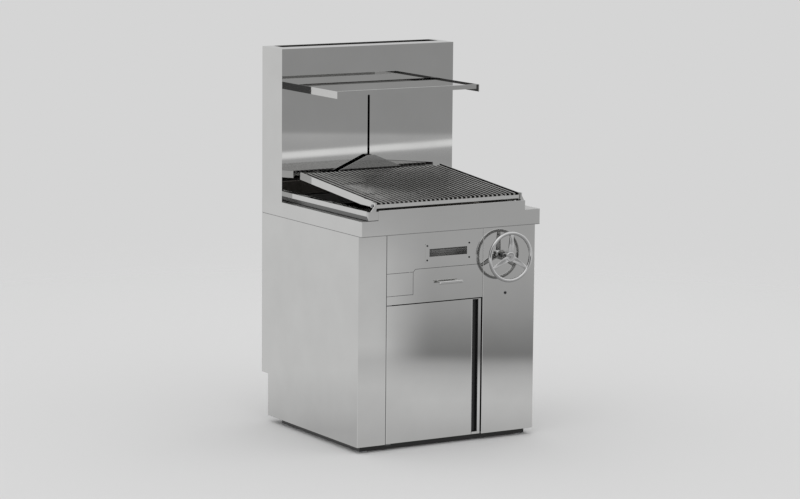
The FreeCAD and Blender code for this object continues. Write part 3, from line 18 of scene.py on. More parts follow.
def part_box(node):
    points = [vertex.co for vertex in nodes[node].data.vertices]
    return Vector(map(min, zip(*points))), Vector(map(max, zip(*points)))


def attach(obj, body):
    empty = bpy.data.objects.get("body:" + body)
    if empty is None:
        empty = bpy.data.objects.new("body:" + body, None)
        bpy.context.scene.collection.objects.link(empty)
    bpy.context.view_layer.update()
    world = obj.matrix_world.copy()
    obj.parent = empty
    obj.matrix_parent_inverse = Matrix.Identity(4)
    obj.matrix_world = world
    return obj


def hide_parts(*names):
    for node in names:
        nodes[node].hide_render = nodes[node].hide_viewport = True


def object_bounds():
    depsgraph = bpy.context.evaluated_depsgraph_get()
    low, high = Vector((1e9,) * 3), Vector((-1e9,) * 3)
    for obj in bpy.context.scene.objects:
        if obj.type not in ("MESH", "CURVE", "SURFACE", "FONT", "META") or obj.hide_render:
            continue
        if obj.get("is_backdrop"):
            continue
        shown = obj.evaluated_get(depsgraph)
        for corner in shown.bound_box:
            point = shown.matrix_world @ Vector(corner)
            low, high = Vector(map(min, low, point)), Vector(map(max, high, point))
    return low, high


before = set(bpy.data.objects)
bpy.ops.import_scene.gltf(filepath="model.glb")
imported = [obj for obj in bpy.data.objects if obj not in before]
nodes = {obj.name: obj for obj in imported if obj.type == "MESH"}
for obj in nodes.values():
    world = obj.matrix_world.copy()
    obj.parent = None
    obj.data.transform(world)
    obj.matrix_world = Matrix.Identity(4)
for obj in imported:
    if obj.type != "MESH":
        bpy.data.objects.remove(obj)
cad_low, cad_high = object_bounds()
MM = 0.001
print("solids:", len(nodes), "box:", [round(v, 3) for v in cad_high - cad_low])

# %% [markdown]
# ## Colours and nodes
#
# A colour picked on a screen is sRGB, while Cycles mixes light in linear values.
# One function makes the change, so that every hex value below reads as it would in a
# paint program. A second function adds a shader node and fills its inputs in a single
# call, with a plain value or with a link from another node. That keeps each material
# short enough to read in one go. Settings that come back often get a name here.

# %% Helpers for colours and nodes
COLOUR_MIX = {"data_type": "RGBA"}
MULTIPLY_ADD = {"operation": "MULTIPLY_ADD"}
DOT_PRODUCT = {"operation": "DOT_PRODUCT"}
SMOOTH_STEP = {"interpolation_type": "SMOOTHSTEP"}


def linear(hex_colour):
    parts = [int(hex_colour[i:i + 2], 16) / 255 for i in (0, 2, 4)]
    return tuple(c / 12.92 if c <= 0.04045 else ((c + 0.055) / 1.055) ** 2.4 for c in parts) + (1.0,)


def add(tree, kind, settings=None, inputs=None):
    """Adds a node: settings are its properties, and an input is a plain value or a socket to link."""
    node = tree.nodes.new(kind)
    for name, value in (settings or {}).items():
        setattr(node, name, value)
    for name, value in (inputs or {}).items():
        if isinstance(value, bpy.types.NodeSocket):
            tree.links.new(value, node.inputs[name])
        else:
            node.inputs[name].default_value = value
    return node


def new_material(name, colour, metallic, roughness):
    """Starts a finish: returns it, its tree, its Principled shader and its Object coordinates."""
    material = bpy.data.materials.new(name)
    material.use_nodes = True
    tree = material.node_tree
    shader = tree.nodes["Principled BSDF"]
    shader.inputs["Base Color"].default_value = linear(colour)
    shader.inputs["Metallic"].default_value = metallic
    shader.inputs["Roughness"].default_value = roughness
    place = add(tree, "ShaderNodeTexCoord").outputs["Object"]
    return material, tree, shader, place


print("mid grey in linear:", round(linear("808080")[0], 3))

# %% [markdown]
# ## Stainless steel sheet, ground to a satin finish
#
# The cabinet is folded from stainless sheet about two millimetres thick. Its surface is
# ground with a fine belt, and then covered with a film until the cabinet is in place,
# so it stays clean and mirrors its surroundings softly. A metal's look is nearly all
# reflection. Three patterns carry it: a very fine grain along the belt's direction,
# a broad unevenness of the gloss where the sheet was wiped, and the slight waviness that
# every large thin sheet has, which bends straight reflections a little.
# The real grain is a tenth of a millimetre wide, too fine to show here, so it is drawn
# at about a millimetre. Faces that look down can get a darker colour: painted shade
# on the undersides.

# %% Stainless sheet
SHEET = "D2D2D1"
GRAIN_WIDTH = 1.2 * MM
GRAIN_LENGTH = 90 * MM
WIPED_PATCH = 160 * MM
SAG_LENGTH = 230 * MM
SAG_DEPTH = 0.1 * MM
EVEN_SHARE, WIPED_SHARE, GRAIN_SHARE = 0.6, 0.5, 0.3


def stainless(name, colour, roughness, grain_axis, wave=0.25, underside_shade=None):
    material, tree, shader, place = new_material(name, colour, 1.0, roughness)
    stretch = [1 / GRAIN_WIDTH] * 3
    stretch["XYZ".index(grain_axis)] = 1 / GRAIN_LENGTH
    belt = add(tree, "ShaderNodeMapping", inputs={"Vector": place, "Scale": stretch}).outputs["Vector"]
    grain = add(tree, "ShaderNodeTexNoise",
                inputs={"Vector": belt, "Scale": 1.0, "Detail": 2.0}).outputs["Fac"]
    wiped = add(tree, "ShaderNodeTexNoise",
                inputs={"Vector": place, "Scale": 1 / WIPED_PATCH, "Detail": 3.0}).outputs["Fac"]
    sheen = add(tree, "ShaderNodeMath", MULTIPLY_ADD,
                {0: wiped, 1: roughness * WIPED_SHARE, 2: roughness * EVEN_SHARE}).outputs["Value"]
    gloss = add(tree, "ShaderNodeMath", MULTIPLY_ADD,
                {0: grain, 1: roughness * GRAIN_SHARE, 2: sheen}).outputs["Value"]
    tree.links.new(gloss, shader.inputs["Roughness"])
    tone = add(tree, "ShaderNodeMix", {"data_type": "RGBA", "blend_type": "MULTIPLY"},
               {"Factor": wiped, "A": linear(colour), "B": linear("F2F2F2")}).outputs["Result"]
    # painted shade: faces that look down get a darker colour
    if underside_shade:
        normal = add(tree, "ShaderNodeNewGeometry").outputs["Normal"]
        down = add(tree, "ShaderNodeVectorMath", DOT_PRODUCT, {0: normal, 1: (0, 0, -1)}).outputs["Value"]
        below = add(tree, "ShaderNodeMapRange",
                    inputs={"Value": down, "From Min": 0.2, "From Max": 0.35}).outputs["Result"]
        tone = add(tree, "ShaderNodeMix", COLOUR_MIX,
                   {"Factor": below, "A": tone, "B": linear(underside_shade)}).outputs["Result"]
    tree.links.new(tone, shader.inputs["Base Color"])
    sag = add(tree, "ShaderNodeTexNoise",
              inputs={"Vector": place, "Scale": 1 / SAG_LENGTH, "Detail": 0.0}).outputs["Fac"]
    waves = add(tree, "ShaderNodeBump", inputs={"Height": sag, "Strength": wave, "Distance": SAG_DEPTH})
    tree.links.new(waves.outputs["Normal"], shader.inputs["Normal"])
    return material


steel_upright = stainless("stainless_sheet_ground_upright", SHEET, 0.016, "Z", wave=0.18)
steel_across = stainless("stainless_sheet_ground_across", SHEET, 0.022, "X")
# this steel gets painted shade on the faces that look down
steel_deep = stainless("stainless_sheet_front_to_back_painted_shade_below", SHEET, 0.05, "Y", underside_shade="787878")
steel_mill = stainless("stainless_plate_mill_finish", "A8A8A7", 0.12, "X")
print("made", steel_upright.name, steel_across.name, steel_deep.name, steel_mill.name)

# %% [markdown]
# ## The worktop's own finish
#
# Pans and scrapers have worn the flat top dull, while its folded edges still mirror.
# Along its lower edge, where it meets the cabinet, a thin grey line is painted in as
# painted shade. Instead of more pieces, this sheet is the same steel with two things
# added. Faces that look up get more roughness, and a band two millimetres tall at the
# bottom gets a dull grey colour: a painted shade line.

# %% Worn worktop with a painted shade line at its edge
WORN_ROUGHNESS = 0.30
SHADE_LINE_ROUGHNESS = 0.3
SHADE_LINE_HEIGHT = 2.2 * MM
SHADE_LINE_FADE = 0.2 * MM

steel_worktop = stainless("stainless_worktop_worn", SHEET, 0.022, "X")
tree = steel_worktop.node_tree
shader = tree.nodes["Principled BSDF"]
gloss = shader.inputs["Roughness"].links[0].from_socket
tone = shader.inputs["Base Color"].links[0].from_socket

normal = add(tree, "ShaderNodeNewGeometry").outputs["Normal"]
up = add(tree, "ShaderNodeVectorMath", DOT_PRODUCT, {0: normal, 1: (0, 0, 1)}).outputs["Value"]
flat_top = add(tree, "ShaderNodeMapRange",
               inputs={"Value": up, "From Min": 0.90, "From Max": 0.98}).outputs["Result"]
worn = add(tree, "ShaderNodeMath", MULTIPLY_ADD,
           {0: flat_top, 1: WORN_ROUGHNESS, 2: gloss}).outputs["Value"]

edge_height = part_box("worktop")[0].z
shade_line_top = edge_height + SHADE_LINE_HEIGHT
place = add(tree, "ShaderNodeTexCoord").outputs["Object"]
height = add(tree, "ShaderNodeSeparateXYZ", inputs={"Vector": place}).outputs["Z"]
shaded = add(tree, "ShaderNodeMapRange",
             inputs={"Value": height, "From Min": shade_line_top + SHADE_LINE_FADE,
                     "From Max": shade_line_top}).outputs["Result"]
dulled = add(tree, "ShaderNodeMath", MULTIPLY_ADD,
             {0: shaded, 1: SHADE_LINE_ROUGHNESS, 2: worn}).outputs["Value"]
tree.links.new(dulled, shader.inputs["Roughness"])
# painted shade: the dull grey band at the bottom edge stands in for the shadow line there
painted_shade_line = add(tree, "ShaderNodeMix", COLOUR_MIX,
              {"Factor": shaded, "A": tone, "B": linear("8C8C8C")}).outputs["Result"]
tree.links.new(painted_shade_line, shader.inputs["Base Color"])
print("sealed edge at m:", round(edge_height, 3))

# %% [markdown]
# ## Stainless bars over the fire
#
# The grate's bars are ground round on top and wiped with oil. Heat leaves them a shade
# warmer and duller in patches. A slow noise mixes two steel tones and lifts the
# roughness in the same places, so the patches read as one thing.

# %% Grate steel
HEAT_PATCH = 70 * MM

grate_steel, tree, shader, place = new_material("stainless_bar_heat_worn", "C4C3C0", 1.0, 0.22)
patches = add(tree, "ShaderNodeTexNoise",
              inputs={"Vector": place, "Scale": 1 / HEAT_PATCH, "Detail": 4.0}).outputs["Fac"]
tint = add(tree, "ShaderNodeMix", COLOUR_MIX,
           {"Factor": patches, "A": linear("B6B6B5"), "B": linear("999896")}).outputs["Result"]
tree.links.new(tint, shader.inputs["Base Color"])
dull = add(tree, "ShaderNodeMapRange",
           inputs={"Value": patches, "To Min": 0.10, "To Max": 0.22}).outputs["Result"]
tree.links.new(dull, shader.inputs["Roughness"])
print("made", grate_steel.name)

# %% [markdown]
# ## Machined steel, bronze and chrome
#
# The lift inside the tower is turned and milled: its tool marks are fine rings or lines
# a few tenths of a millimetre apart, drawn here two millimetres apart so that they can
# show. Bearings are bronze, a warm metal that dulls quickly. The handwheel is plated, so
# it is the brightest and smoothest metal on the whole grill. One function makes all
# four, because they differ only in colour, roughness and how far apart the marks are.
# A wave texture draws its rings 0.314 units apart, so its scale is that over the spacing.

# %% Machined metals
RING_UNITS = math.tau / 20
DULL_SPOT = 12 * MM
CUT_DEPTH = 0.1 * MM
SMOOTHEST, ROUGHEST = 0.7, 1.4


def machined(name, colour, roughness, spacing):
    material, tree, shader, place = new_material(name, colour, 1.0, roughness)
    marks = add(tree, "ShaderNodeTexWave", {"wave_type": "RINGS", "rings_direction": "Y"},
                {"Vector": place, "Scale": RING_UNITS / (spacing * MM),
                 "Distortion": 1.5, "Detail": 2.0}).outputs["Fac"]
    spots = add(tree, "ShaderNodeTexNoise",
                inputs={"Vector": place, "Scale": 1 / DULL_SPOT, "Detail": 3.0}).outputs["Fac"]
    dull = add(tree, "ShaderNodeMapRange",
               inputs={"Value": spots, "To Min": roughness * SMOOTHEST,
                       "To Max": roughness * ROUGHEST}).outputs["Result"]
    tree.links.new(dull, shader.inputs["Roughness"])
    cut = add(tree, "ShaderNodeBump", inputs={"Height": marks, "Strength": 0.12, "Distance": CUT_DEPTH})
    tree.links.new(cut.outputs["Normal"], shader.inputs["Normal"])
    return material


machined_steel = machined("machined_steel", "8F9092", 0.32, 1.9)
bronze = machined("bearing_bronze", "A8854A", 0.35, 1.9)
chrome = machined("plated_handwheel_metal", "CACACA", 0.10, 4.7)
dark_screw = machined("blackened_screw_steel", "3A3A3B", 0.4, 1.9)
print("made", machined_steel.name, bronze.name, chrome.name, dark_screw.name)

# %% [markdown]
# ## Paint, soot, cast iron, firebrick and plastic
#
# Hidden and heated parts are not shiny. The plinth is painted black with a faint orange
# peel. The flue inside is sooty. The fire grid is sand-cast iron, whose skin is pebbled
# at about a millimetre. Firebrick is a porous, sandy clay. The button and the catch are
# moulded plastic with a spark-eroded texture. Each is a fine bump for the skin and a
# broad noise, twenty-five times as coarse, that mixes two close tones.

# %% Dull finishes
BROAD_TO_FINE = 25


def dull_finish(name, colour, other, roughness, grain, height, metallic=0.0):
    material, tree, shader, place = new_material(name, colour, metallic, roughness)
    fine = 1 / (grain * MM)
    rough = add(tree, "ShaderNodeTexNoise",
                inputs={"Vector": place, "Scale": fine, "Detail": 5.0}).outputs["Fac"]
    broad = add(tree, "ShaderNodeTexNoise",
                inputs={"Vector": place, "Scale": fine / BROAD_TO_FINE, "Detail": 3.0}).outputs["Fac"]
    tone = add(tree, "ShaderNodeMix", COLOUR_MIX,
               {"Factor": broad, "A": linear(colour), "B": linear(other)}).outputs["Result"]
    tree.links.new(tone, shader.inputs["Base Color"])
    bump = add(tree, "ShaderNodeBump", inputs={"Height": rough, "Strength": 0.5, "Distance": height * MM})
    tree.links.new(bump.outputs["Normal"], shader.inputs["Normal"])
    return material


black_paint = dull_finish("satin_black_paint", "0E0E0E", "161616", 0.45, 2.0, 0.05)
soot = dull_finish("sooty_steel", "3E3E3E", "575654", 0.8, 3.0, 0.3, 0.3)
cast_iron = dull_finish("sand_cast_iron", "4A4A4B", "5D5A56", 0.6, 1.5, 0.4, 0.6)
firebrick = dull_finish("sooted_firebrick", "8B8781", "67635E", 0.9, 2.5, 0.6)
black_plastic = dull_finish("moulded_black_plastic", "141414", "1B1B1B", 0.4, 0.6, 0.02)
print("made", black_paint.name, soot.name, cast_iron.name, firebrick.name, black_plastic.name)

# %% [markdown]
# ## Hand out the finishes
#
# A solid's mesh stays exactly as it is, and only its material slot changes. The grain
# follows the way each sheet was cut: upright on the cabinet's front and sides, across
# on the worktop's long front edge, and front to back in the gutters.

# %% Finishes for the solids
FINISH = {
    steel_upright: ["side_panel_left", "side_panel_right", "rear_panel", "control_panel",
                    "compartment_wall", "service_bulkhead", "upper_front_panel", "front_frame",
                    "access_cover", "vent_plate", "tower_casing", "tower_front",
                    "door_skin", "door_liner", "door_pull", "drawer_front"],
    steel_worktop: ["worktop"],
    steel_across: ["gutter_front", "shelf_plate", "tower_top", "cupboard_deck", "base_pan",
                   "drawer_handle", "corner_blocks", "pivot_brackets"],
    steel_deep: ["gutter_left", "gutter_right", "shelf_arms", "drawer_box", "drawer_runners",
                 "air_duct", "grate_frame"],
    steel_mill: ["lift_yoke", "lift_arm"],
    grate_steel: ["grate_bars", "vent_grille"],
    machined_steel: ["levelling_feet", "guide_rods", "guide_brackets", "crosshead", "rack",
                     "pinion", "drive_shaft", "pivot_pins", "shelf_bolts", "door_hinges",
                     "button_switch"],
    bronze: ["guide_bushes", "shaft_bearings", "rack_guide"],
    dark_screw: ["vent_screws"],
    chrome: ["handwheel", "wheel_screw"],
    black_paint: ["plinth_frame"],
    soot: ["flue_baffle", "firebox"],
    cast_iron: ["fire_grate"],
    firebrick: ["firebricks"],
    black_plastic: ["push_button", "door_catch"],
}
for finish, names in FINISH.items():
    for name in names:
        for slot in nodes[name].material_slots:
            slot.material = finish
plain = sorted(set(nodes) - {name for names in FINISH.values() for name in names})
print("solids without a finish:", plain)

# %% [markdown]
# ## The handwheel
#
# The solid wheel has sharp corners where the flat spokes meet the rim and the hub.
# A real one is cast or welded and then polished, so light runs round those corners.
# We remake it from three operators. A circle of the tube's size, spun once round the
# axis, gives the rim. A turned profile, spun the same way, gives the hub. Each spoke
# is a flat bar: a cube that is stretched, narrowed at its outer end and bevelled a little.
# It stops inside the rim, just short of the middle of the tube.

# %% Handwheel: rim and hub
def spin_round(mesh, outline, centre, steps):
    """Spins an outline of vertices and edges once round the wheel's axis."""
    bmesh.ops.spin(mesh, geom=outline, cent=centre, axis=(0, 1, 0), angle=math.tau, steps=steps,
                   use_merge=True)


TUBE = 7 * MM
RIM_STEPS = 96
HUB_STEPS = 64
HUB_BORE = 8 * MM
HUB_RADIUS = 20 * MM
HUB_NOSE = 4 * MM
HUB_CHAMFER = 3 * MM

wheel_low, wheel_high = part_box("handwheel")
rim_radius = (wheel_high.z - wheel_low.z) / 2 - TUBE
rim_centre = (wheel_low + wheel_high) / 2
rim_centre.y = wheel_low.y + TUBE

wheel = bmesh.new()
ring = bmesh.ops.create_circle(wheel, segments=20, radius=TUBE)["verts"]
bmesh.ops.translate(wheel, verts=ring, vec=rim_centre + Vector((rim_radius, 0, 0)))
spin_round(wheel, ring + list({edge for vert in ring for edge in vert.link_edges}), rim_centre, RIM_STEPS)

hub_back = wheel_high.y - rim_centre.y
hub_profile = [(HUB_BORE, -HUB_NOSE), (HUB_RADIUS - HUB_CHAMFER, -HUB_NOSE),
               (HUB_RADIUS - 0.8 * MM, -3.4 * MM), (HUB_RADIUS, -1.5 * MM), (HUB_RADIUS, hub_back - 2 * MM),
               (HUB_RADIUS - 1.5 * MM, hub_back), (HUB_BORE, hub_back)]
corners = [wheel.verts.new(rim_centre + Vector((radius, along, 0))) for radius, along in hub_profile]
sides = [wheel.edges.new(pair) for pair in zip(corners, corners[1:])]
spin_round(wheel, corners + sides, rim_centre, HUB_STEPS)
print("rim radius mm:", round(rim_radius / MM, 1), "hub mm:", round((hub_back + HUB_NOSE) / MM, 1))

# %% Handwheel: spokes
def piece(name, mesh, body, finish, smooth=True):
    """Turns a finished bmesh into an object that rides on a body."""
    data = bpy.data.meshes.new(name)
    mesh.to_mesh(data)
    mesh.free()
    made = bpy.data.objects.new(name, data)
    bpy.context.scene.collection.objects.link(made)
    data.materials.append(finish)
    if smooth:
        data.shade_smooth()
    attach(made, body)
    return made


SPOKES = 3
FIRST_SPOKE = 87
SPOKE_START = 14 * MM
SPOKE_THICKNESS = 6 * MM
SPOKE_WIDTH = 24 * MM
SPOKE_TAPER = 0.55
SPOKE_EDGE = 0.7 * MM
SPOKE_STOP = 2.8 * MM
MERGE = 0.01 * MM

spoke_end = rim_radius - SPOKE_STOP
for i in range(SPOKES):
    made = bmesh.ops.create_cube(wheel, size=1.0)["verts"]
    bmesh.ops.scale(wheel, verts=made, vec=(spoke_end - SPOKE_START, SPOKE_THICKNESS, SPOKE_WIDTH))
    bmesh.ops.translate(wheel, verts=made, vec=((spoke_end + SPOKE_START) / 2, 0, 0))
    outer_end = [vert for vert in made if vert.co.x > (spoke_end + SPOKE_START) / 2]
    bmesh.ops.scale(wheel, verts=outer_end, vec=(1, 1, SPOKE_TAPER))
    edges = list({edge for vert in made for edge in vert.link_edges})
    bevelled = bmesh.ops.bevel(wheel, geom=edges, offset=SPOKE_EDGE, affect="EDGES", segments=2,
                               profile=0.5, material=-1)
    spoke = list({vert for face in bevelled["faces"] for vert in face.verts})
    turn = Matrix.Rotation(-math.radians(FIRST_SPOKE + 360 / SPOKES * i), 4, "Y")
    bmesh.ops.transform(wheel, matrix=Matrix.Translation(rim_centre) @ turn, verts=spoke)
bmesh.ops.remove_doubles(wheel, verts=wheel.verts, dist=MERGE)
bmesh.ops.recalc_face_normals(wheel, faces=wheel.faces)
polished_wheel = piece("polished_handwheel", wheel, "wheel", chrome)
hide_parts("handwheel")
print("handwheel faces:", len(polished_wheel.data.polygons))

# %% [markdown]
# ## The air inlet's wire mesh
#
# Behind the framed window above the drawer is a fine mesh that keeps hands and embers
# apart. The solid only has slots. Here it becomes crossed wires: one short cylinder is
# made for each wire, upright ones in front of the lying ones. Their spacing of three
# millimetres is as fine as the picture can show.

# %% Vent mesh
WIRE = 0.55 * MM
SPACING = 3.0 * MM
LAYER = 0.22 * MM

grille_low, grille_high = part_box("vent_grille")
middle = (grille_low + grille_high) / 2
wide = grille_high.x - grille_low.x
tall = grille_high.z - grille_low.z
mesh = bmesh.new()


def wires(count, length, lying, depth):
    """Adds one wire after another: cylinders stand along Z, and the lying ones are turned."""
    for i in range(count):
        offset = (i - (count - 1) / 2) * SPACING
        made = bmesh.ops.create_cone(mesh, cap_ends=True, segments=6, radius1=WIRE, radius2=WIRE,
                                     depth=length)["verts"]
        if lying:
            bmesh.ops.rotate(mesh, verts=made, matrix=Matrix.Rotation(math.pi / 2, 3, "Y"))
        shift = Vector((0, depth, offset)) if lying else Vector((offset, depth, 0))
        bmesh.ops.translate(mesh, verts=made, vec=middle + shift)


wires(int(wide / SPACING), tall, False, -LAYER)
wires(int(tall / SPACING), wide, True, LAYER)
vent_mesh = piece("vent_wire_mesh", mesh, "cabinet", steel_mill)
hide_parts("vent_grille")
print("mesh faces:", len(vent_mesh.data.polygons))

# %% [markdown]
# ## Painted shade in the door's finger recess
#
# The door opens by a channel folded down its whole right edge. Its inside lies in shade,
# so a black sheet is put in it as painted shade, and the channel reads as a black line.
# The sheet is one strip bent into a U. It starts as a cube without its open side, and
# the walls get their thickness from solidify.

# %% Painted shade in the recess
LIP = 12 * MM
RECESS = 25 * MM
STRIP = 1.2 * MM
SIDE_GAP = 0.2 * MM
FRONT_SETBACK = 5.5 * MM
BACK_GAP = 4.2 * MM
FOOT_GAP = 10 * MM
HEAD_GAP = 3 * MM

pull_low, pull_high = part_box("door_pull")
skin_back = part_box("door_skin")[1].y
recess_right = pull_high.x - LIP
shade_sheet_low = Vector((recess_right - RECESS + SIDE_GAP, pull_low.y + FRONT_SETBACK, pull_low.z + FOOT_GAP))
shade_sheet_high = Vector((recess_right - SIDE_GAP, skin_back - BACK_GAP, pull_high.z - HEAD_GAP))
mesh = bmesh.new()
made = bmesh.ops.create_cube(mesh, size=1.0)["verts"]
bmesh.ops.scale(mesh, verts=made, vec=shade_sheet_high - shade_sheet_low)
bmesh.ops.translate(mesh, verts=made, vec=(shade_sheet_high + shade_sheet_low) / 2)
open_side = [face for face in mesh.faces if face.normal.y < -0.9]
bmesh.ops.delete(mesh, geom=open_side, context="FACES_ONLY")
bmesh.ops.recalc_face_normals(mesh, faces=mesh.faces)
bmesh.ops.solidify(mesh, geom=mesh.faces[:], thickness=STRIP)
# painted shade: a black plastic sheet stands where the recess only lies in shade
shade_sheet = piece("recess_painted_shade_sheet", mesh, "door", black_plastic, smooth=False)
print("lining mm:", [round(v / MM, 1) for v in shade_sheet_high - shade_sheet_low])

# %% [markdown]
# ## The floor
#
# The floor is a pale matt disc. For the camera its edge fades into a background of the
# same tone, so that no horizon shows. A backdrop sheet with a curve would do the same,
# but it would also stand in the way of every other view. The disc stays out of the
# metal's reflections, because the painted room already holds what the metal mirrors.

# %% Floor
BACKGROUND = "D5D5D5"
FLOOR_RADIUS = 9.0
FADE_START = 1.6
FADE_END = 5.5

mesh = bmesh.new()
bmesh.ops.create_circle(mesh, cap_ends=True, segments=96, radius=FLOOR_RADIUS)
data = bpy.data.meshes.new("studio_floor")
mesh.to_mesh(data)
mesh.free()
floor = bpy.data.objects.new("studio_floor", data)
bpy.context.scene.collection.objects.link(floor)
floor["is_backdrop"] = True
floor.visible_glossy = False

pale, tree, shader, place = new_material("pale_studio_floor", "DDDDDD", 0.0, 0.9)
shader.inputs["Specular IOR Level"].default_value = 0.0
away = add(tree, "ShaderNodeVectorMath", {"operation": "LENGTH"}, {0: place}).outputs["Value"]
fade = add(tree, "ShaderNodeMapRange", SMOOTH_STEP,
           {"Value": away, "From Min": FADE_START, "From Max": FADE_END}).outputs["Result"]
beyond = add(tree, "ShaderNodeBsdfTransparent").outputs["BSDF"]
faded = add(tree, "ShaderNodeMixShader", inputs={0: fade, 1: shader.outputs["BSDF"], 2: beyond})
tree.links.new(faded.outputs["Shader"], tree.nodes["Material Output"].inputs["Surface"])
data.materials.append(pale)
print("floor radius m:", FLOOR_RADIUS)

# %% [markdown]
# ## The room that the steel mirrors
#
# Polished sheet shows its surroundings more than itself, so the room matters more than
# the lamp. The camera stands far off with a long lens. Each flat sheet therefore mirrors
# one small patch of the room, about ten degrees across. Its middle is the direction of
# view with one coordinate turned round, which is the one that the sheet faces.
# We could build walls and light boxes round the grill. Instead the world is painted by
# direction, which gives soft edges, no noise and nothing that another view could run into.
# First come the masks: each is 1 inside its patch of the room and fades to 0 outside.

# %% Patches of the room
COMPASS = math.radians(31.008)
DIP = math.radians(8.638)
forward = Vector((math.sin(COMPASS) * math.cos(DIP), math.cos(COMPASS) * math.cos(DIP), -math.sin(DIP)))
level = Vector((math.cos(COMPASS), -math.sin(COMPASS), 0))
off_the_front = forward * Vector((1, -1, 1))
off_the_side = forward * Vector((-1, 1, 1))
off_the_top = forward * Vector((1, 1, -1))
behind_camera = Vector((-math.sin(COMPASS), -math.cos(COMPASS), 0))
FACE_EDGE = (0.93, 0.985)
WALL_EDGE = (math.cos(math.radians(38)), math.cos(math.radians(18)))
PATCHES = {
    "front": (off_the_front, FACE_EDGE),
    "side": (off_the_side, FACE_EDGE),
    "top": (off_the_top, FACE_EDGE),
    "behind": (behind_camera, WALL_EDGE),
}

world = bpy.data.worlds.new("studio")
bpy.context.scene.world = world
world.use_nodes = True
tree = world.node_tree
tree.nodes.clear()
direction = add(tree, "ShaderNodeTexCoord").outputs["Generated"]
mask = {}
for name, (axis, (outer, inner)) in PATCHES.items():
    facing = add(tree, "ShaderNodeVectorMath", DOT_PRODUCT, {0: direction, 1: axis}).outputs["Value"]
    mask[name] = add(tree, "ShaderNodeMapRange", SMOOTH_STEP,
                     {"Value": facing, "From Min": outer, "From Max": inner}).outputs["Result"]
print("patches of the room:", list(mask))

# %% [markdown]
# ## What the front mirrors
#
# The door and the tower's front look back past the camera. Towards the left they see
# the pale floor, and towards the right a darker wall that ends in it, which gives the
# door its dark upper half and its bright foot. A long bright strip, a little slanted,
# crosses the tower's front. A place in this patch is counted in degrees across and down
# from its middle. Ramps turn the drop into levels of light. Their stops are listed
# from the top of the tower down to the foot of the door.

# %% Levels of grey
WALL_LEVELS = [(0.232, 0.375), (0.237, 0.53), (0.290, 0.43), (0.36, 0.50), (0.53, 0.51), (0.639, 0.43),
               (0.685, 0.343), (0.734, 0.268), (0.742, 0.28), (0.764, 0.505), (0.791, 0.645), (0.814, 0.70),
               (0.846, 0.745), (0.88, 0.695), (0.915, 0.605), (0.94, 0.56)]
FLOOR_LEVELS = [(0.232, 0.375), (0.237, 0.53), (0.290, 0.43), (0.40, 0.51), (0.53, 0.68), (0.72, 0.74),
                (0.755, 0.65), (0.818, 0.74), (0.94, 0.6)]


def grey(light):
    return (light, light, light, 1.0)


def grey_stops(node, stops):
    """Gives a ramp node its grey levels, and returns its colour."""
    while len(node.color_ramp.elements) < len(stops):
        node.color_ramp.elements.new(0.5)
    for element, (position, light) in zip(node.color_ramp.elements, stops):
        element.position = position
        element.color = grey(light)
    return node.outputs["Color"]


print("stops on the wall and the floor:", len(WALL_LEVELS), len(FLOOR_LEVELS))

# %% Light from behind the camera
PATCH_HEIGHT = 8
DEGREE = math.tan(math.radians(1.0))
WALL_BEGINS = (-0.45, 0.65)

sideways = level * Vector((1, -1, 1))
downward = -off_the_front.cross(sideways)
ahead, aside, below = [
    add(tree, "ShaderNodeVectorMath", DOT_PRODUCT, {0: direction, 1: axis}).outputs["Value"]
    for axis in (off_the_front, sideways, downward)]
step = add(tree, "ShaderNodeMath", {"operation": "MULTIPLY"}, {0: ahead, 1: DEGREE}).outputs["Value"]
across = add(tree, "ShaderNodeMath", {"operation": "DIVIDE"}, {0: aside, 1: step}).outputs["Value"]
drop = add(tree, "ShaderNodeMath", {"operation": "DIVIDE"}, {0: below, 1: step}).outputs["Value"]
drop_place = add(tree, "ShaderNodeMath", MULTIPLY_ADD,
                 {0: drop, 1: 1 / PATCH_HEIGHT, 2: 0.5}).outputs["Value"]
dark_wall = grey_stops(add(tree, "ShaderNodeValToRGB", inputs={"Fac": drop_place}), WALL_LEVELS)
pale_floor = grey_stops(add(tree, "ShaderNodeValToRGB", inputs={"Fac": drop_place}), FLOOR_LEVELS)
on_the_wall = add(tree, "ShaderNodeMapRange", SMOOTH_STEP,
                  {"Value": across, "From Min": WALL_BEGINS[0], "From Max": WALL_BEGINS[1]}).outputs["Result"]
front_light = add(tree, "ShaderNodeMix", COLOUR_MIX,
                  {"Factor": on_the_wall, "A": pale_floor, "B": dark_wall}).outputs["Result"]
print("patch height in degrees:", PATCH_HEIGHT)

# %% The bright strip
STRIP_SLANT = 0.086
STRIP_TOP, STRIP_BOTTOM, STRIP_BLUR = 0.2554, 0.2734, 0.0025
STRIP_LEVEL = 0.99

slanted = add(tree, "ShaderNodeMath", MULTIPLY_ADD, {0: across, 1: STRIP_SLANT, 2: drop}).outputs["Value"]
strip_place = add(tree, "ShaderNodeMath", MULTIPLY_ADD,
                  {0: slanted, 1: 1 / PATCH_HEIGHT, 2: 0.5}).outputs["Value"]
strip = grey_stops(add(tree, "ShaderNodeValToRGB", inputs={"Fac": strip_place}),
                   [(STRIP_TOP, 0.0), (STRIP_TOP + STRIP_BLUR, 1.0),
                    (STRIP_BOTTOM - STRIP_BLUR, 1.0), (STRIP_BOTTOM, 0.0)])
front_light = add(tree, "ShaderNodeMix", COLOUR_MIX,
                  {"Factor": strip, "A": front_light, "B": grey(STRIP_LEVEL)}).outputs["Result"]
print("strip in degrees:", round((STRIP_BOTTOM - STRIP_TOP) * PATCH_HEIGHT, 2))

# %% [markdown]
# ## The rest of the room
#
# Elsewhere the room is plain, dim under the horizon and bright overhead, as in a studio
# with a lit ceiling. Behind the camera hangs a dark drape that stops just above the
# floor: curved metal, such as the bars and the wheel, needs something dark to show its
# shape. The left side mirrors a floor that gets darker towards its foot, and the flat
# tops mirror an even grey. The patches are laid over the plain room one after another.
# The camera itself sees only the background's tone.

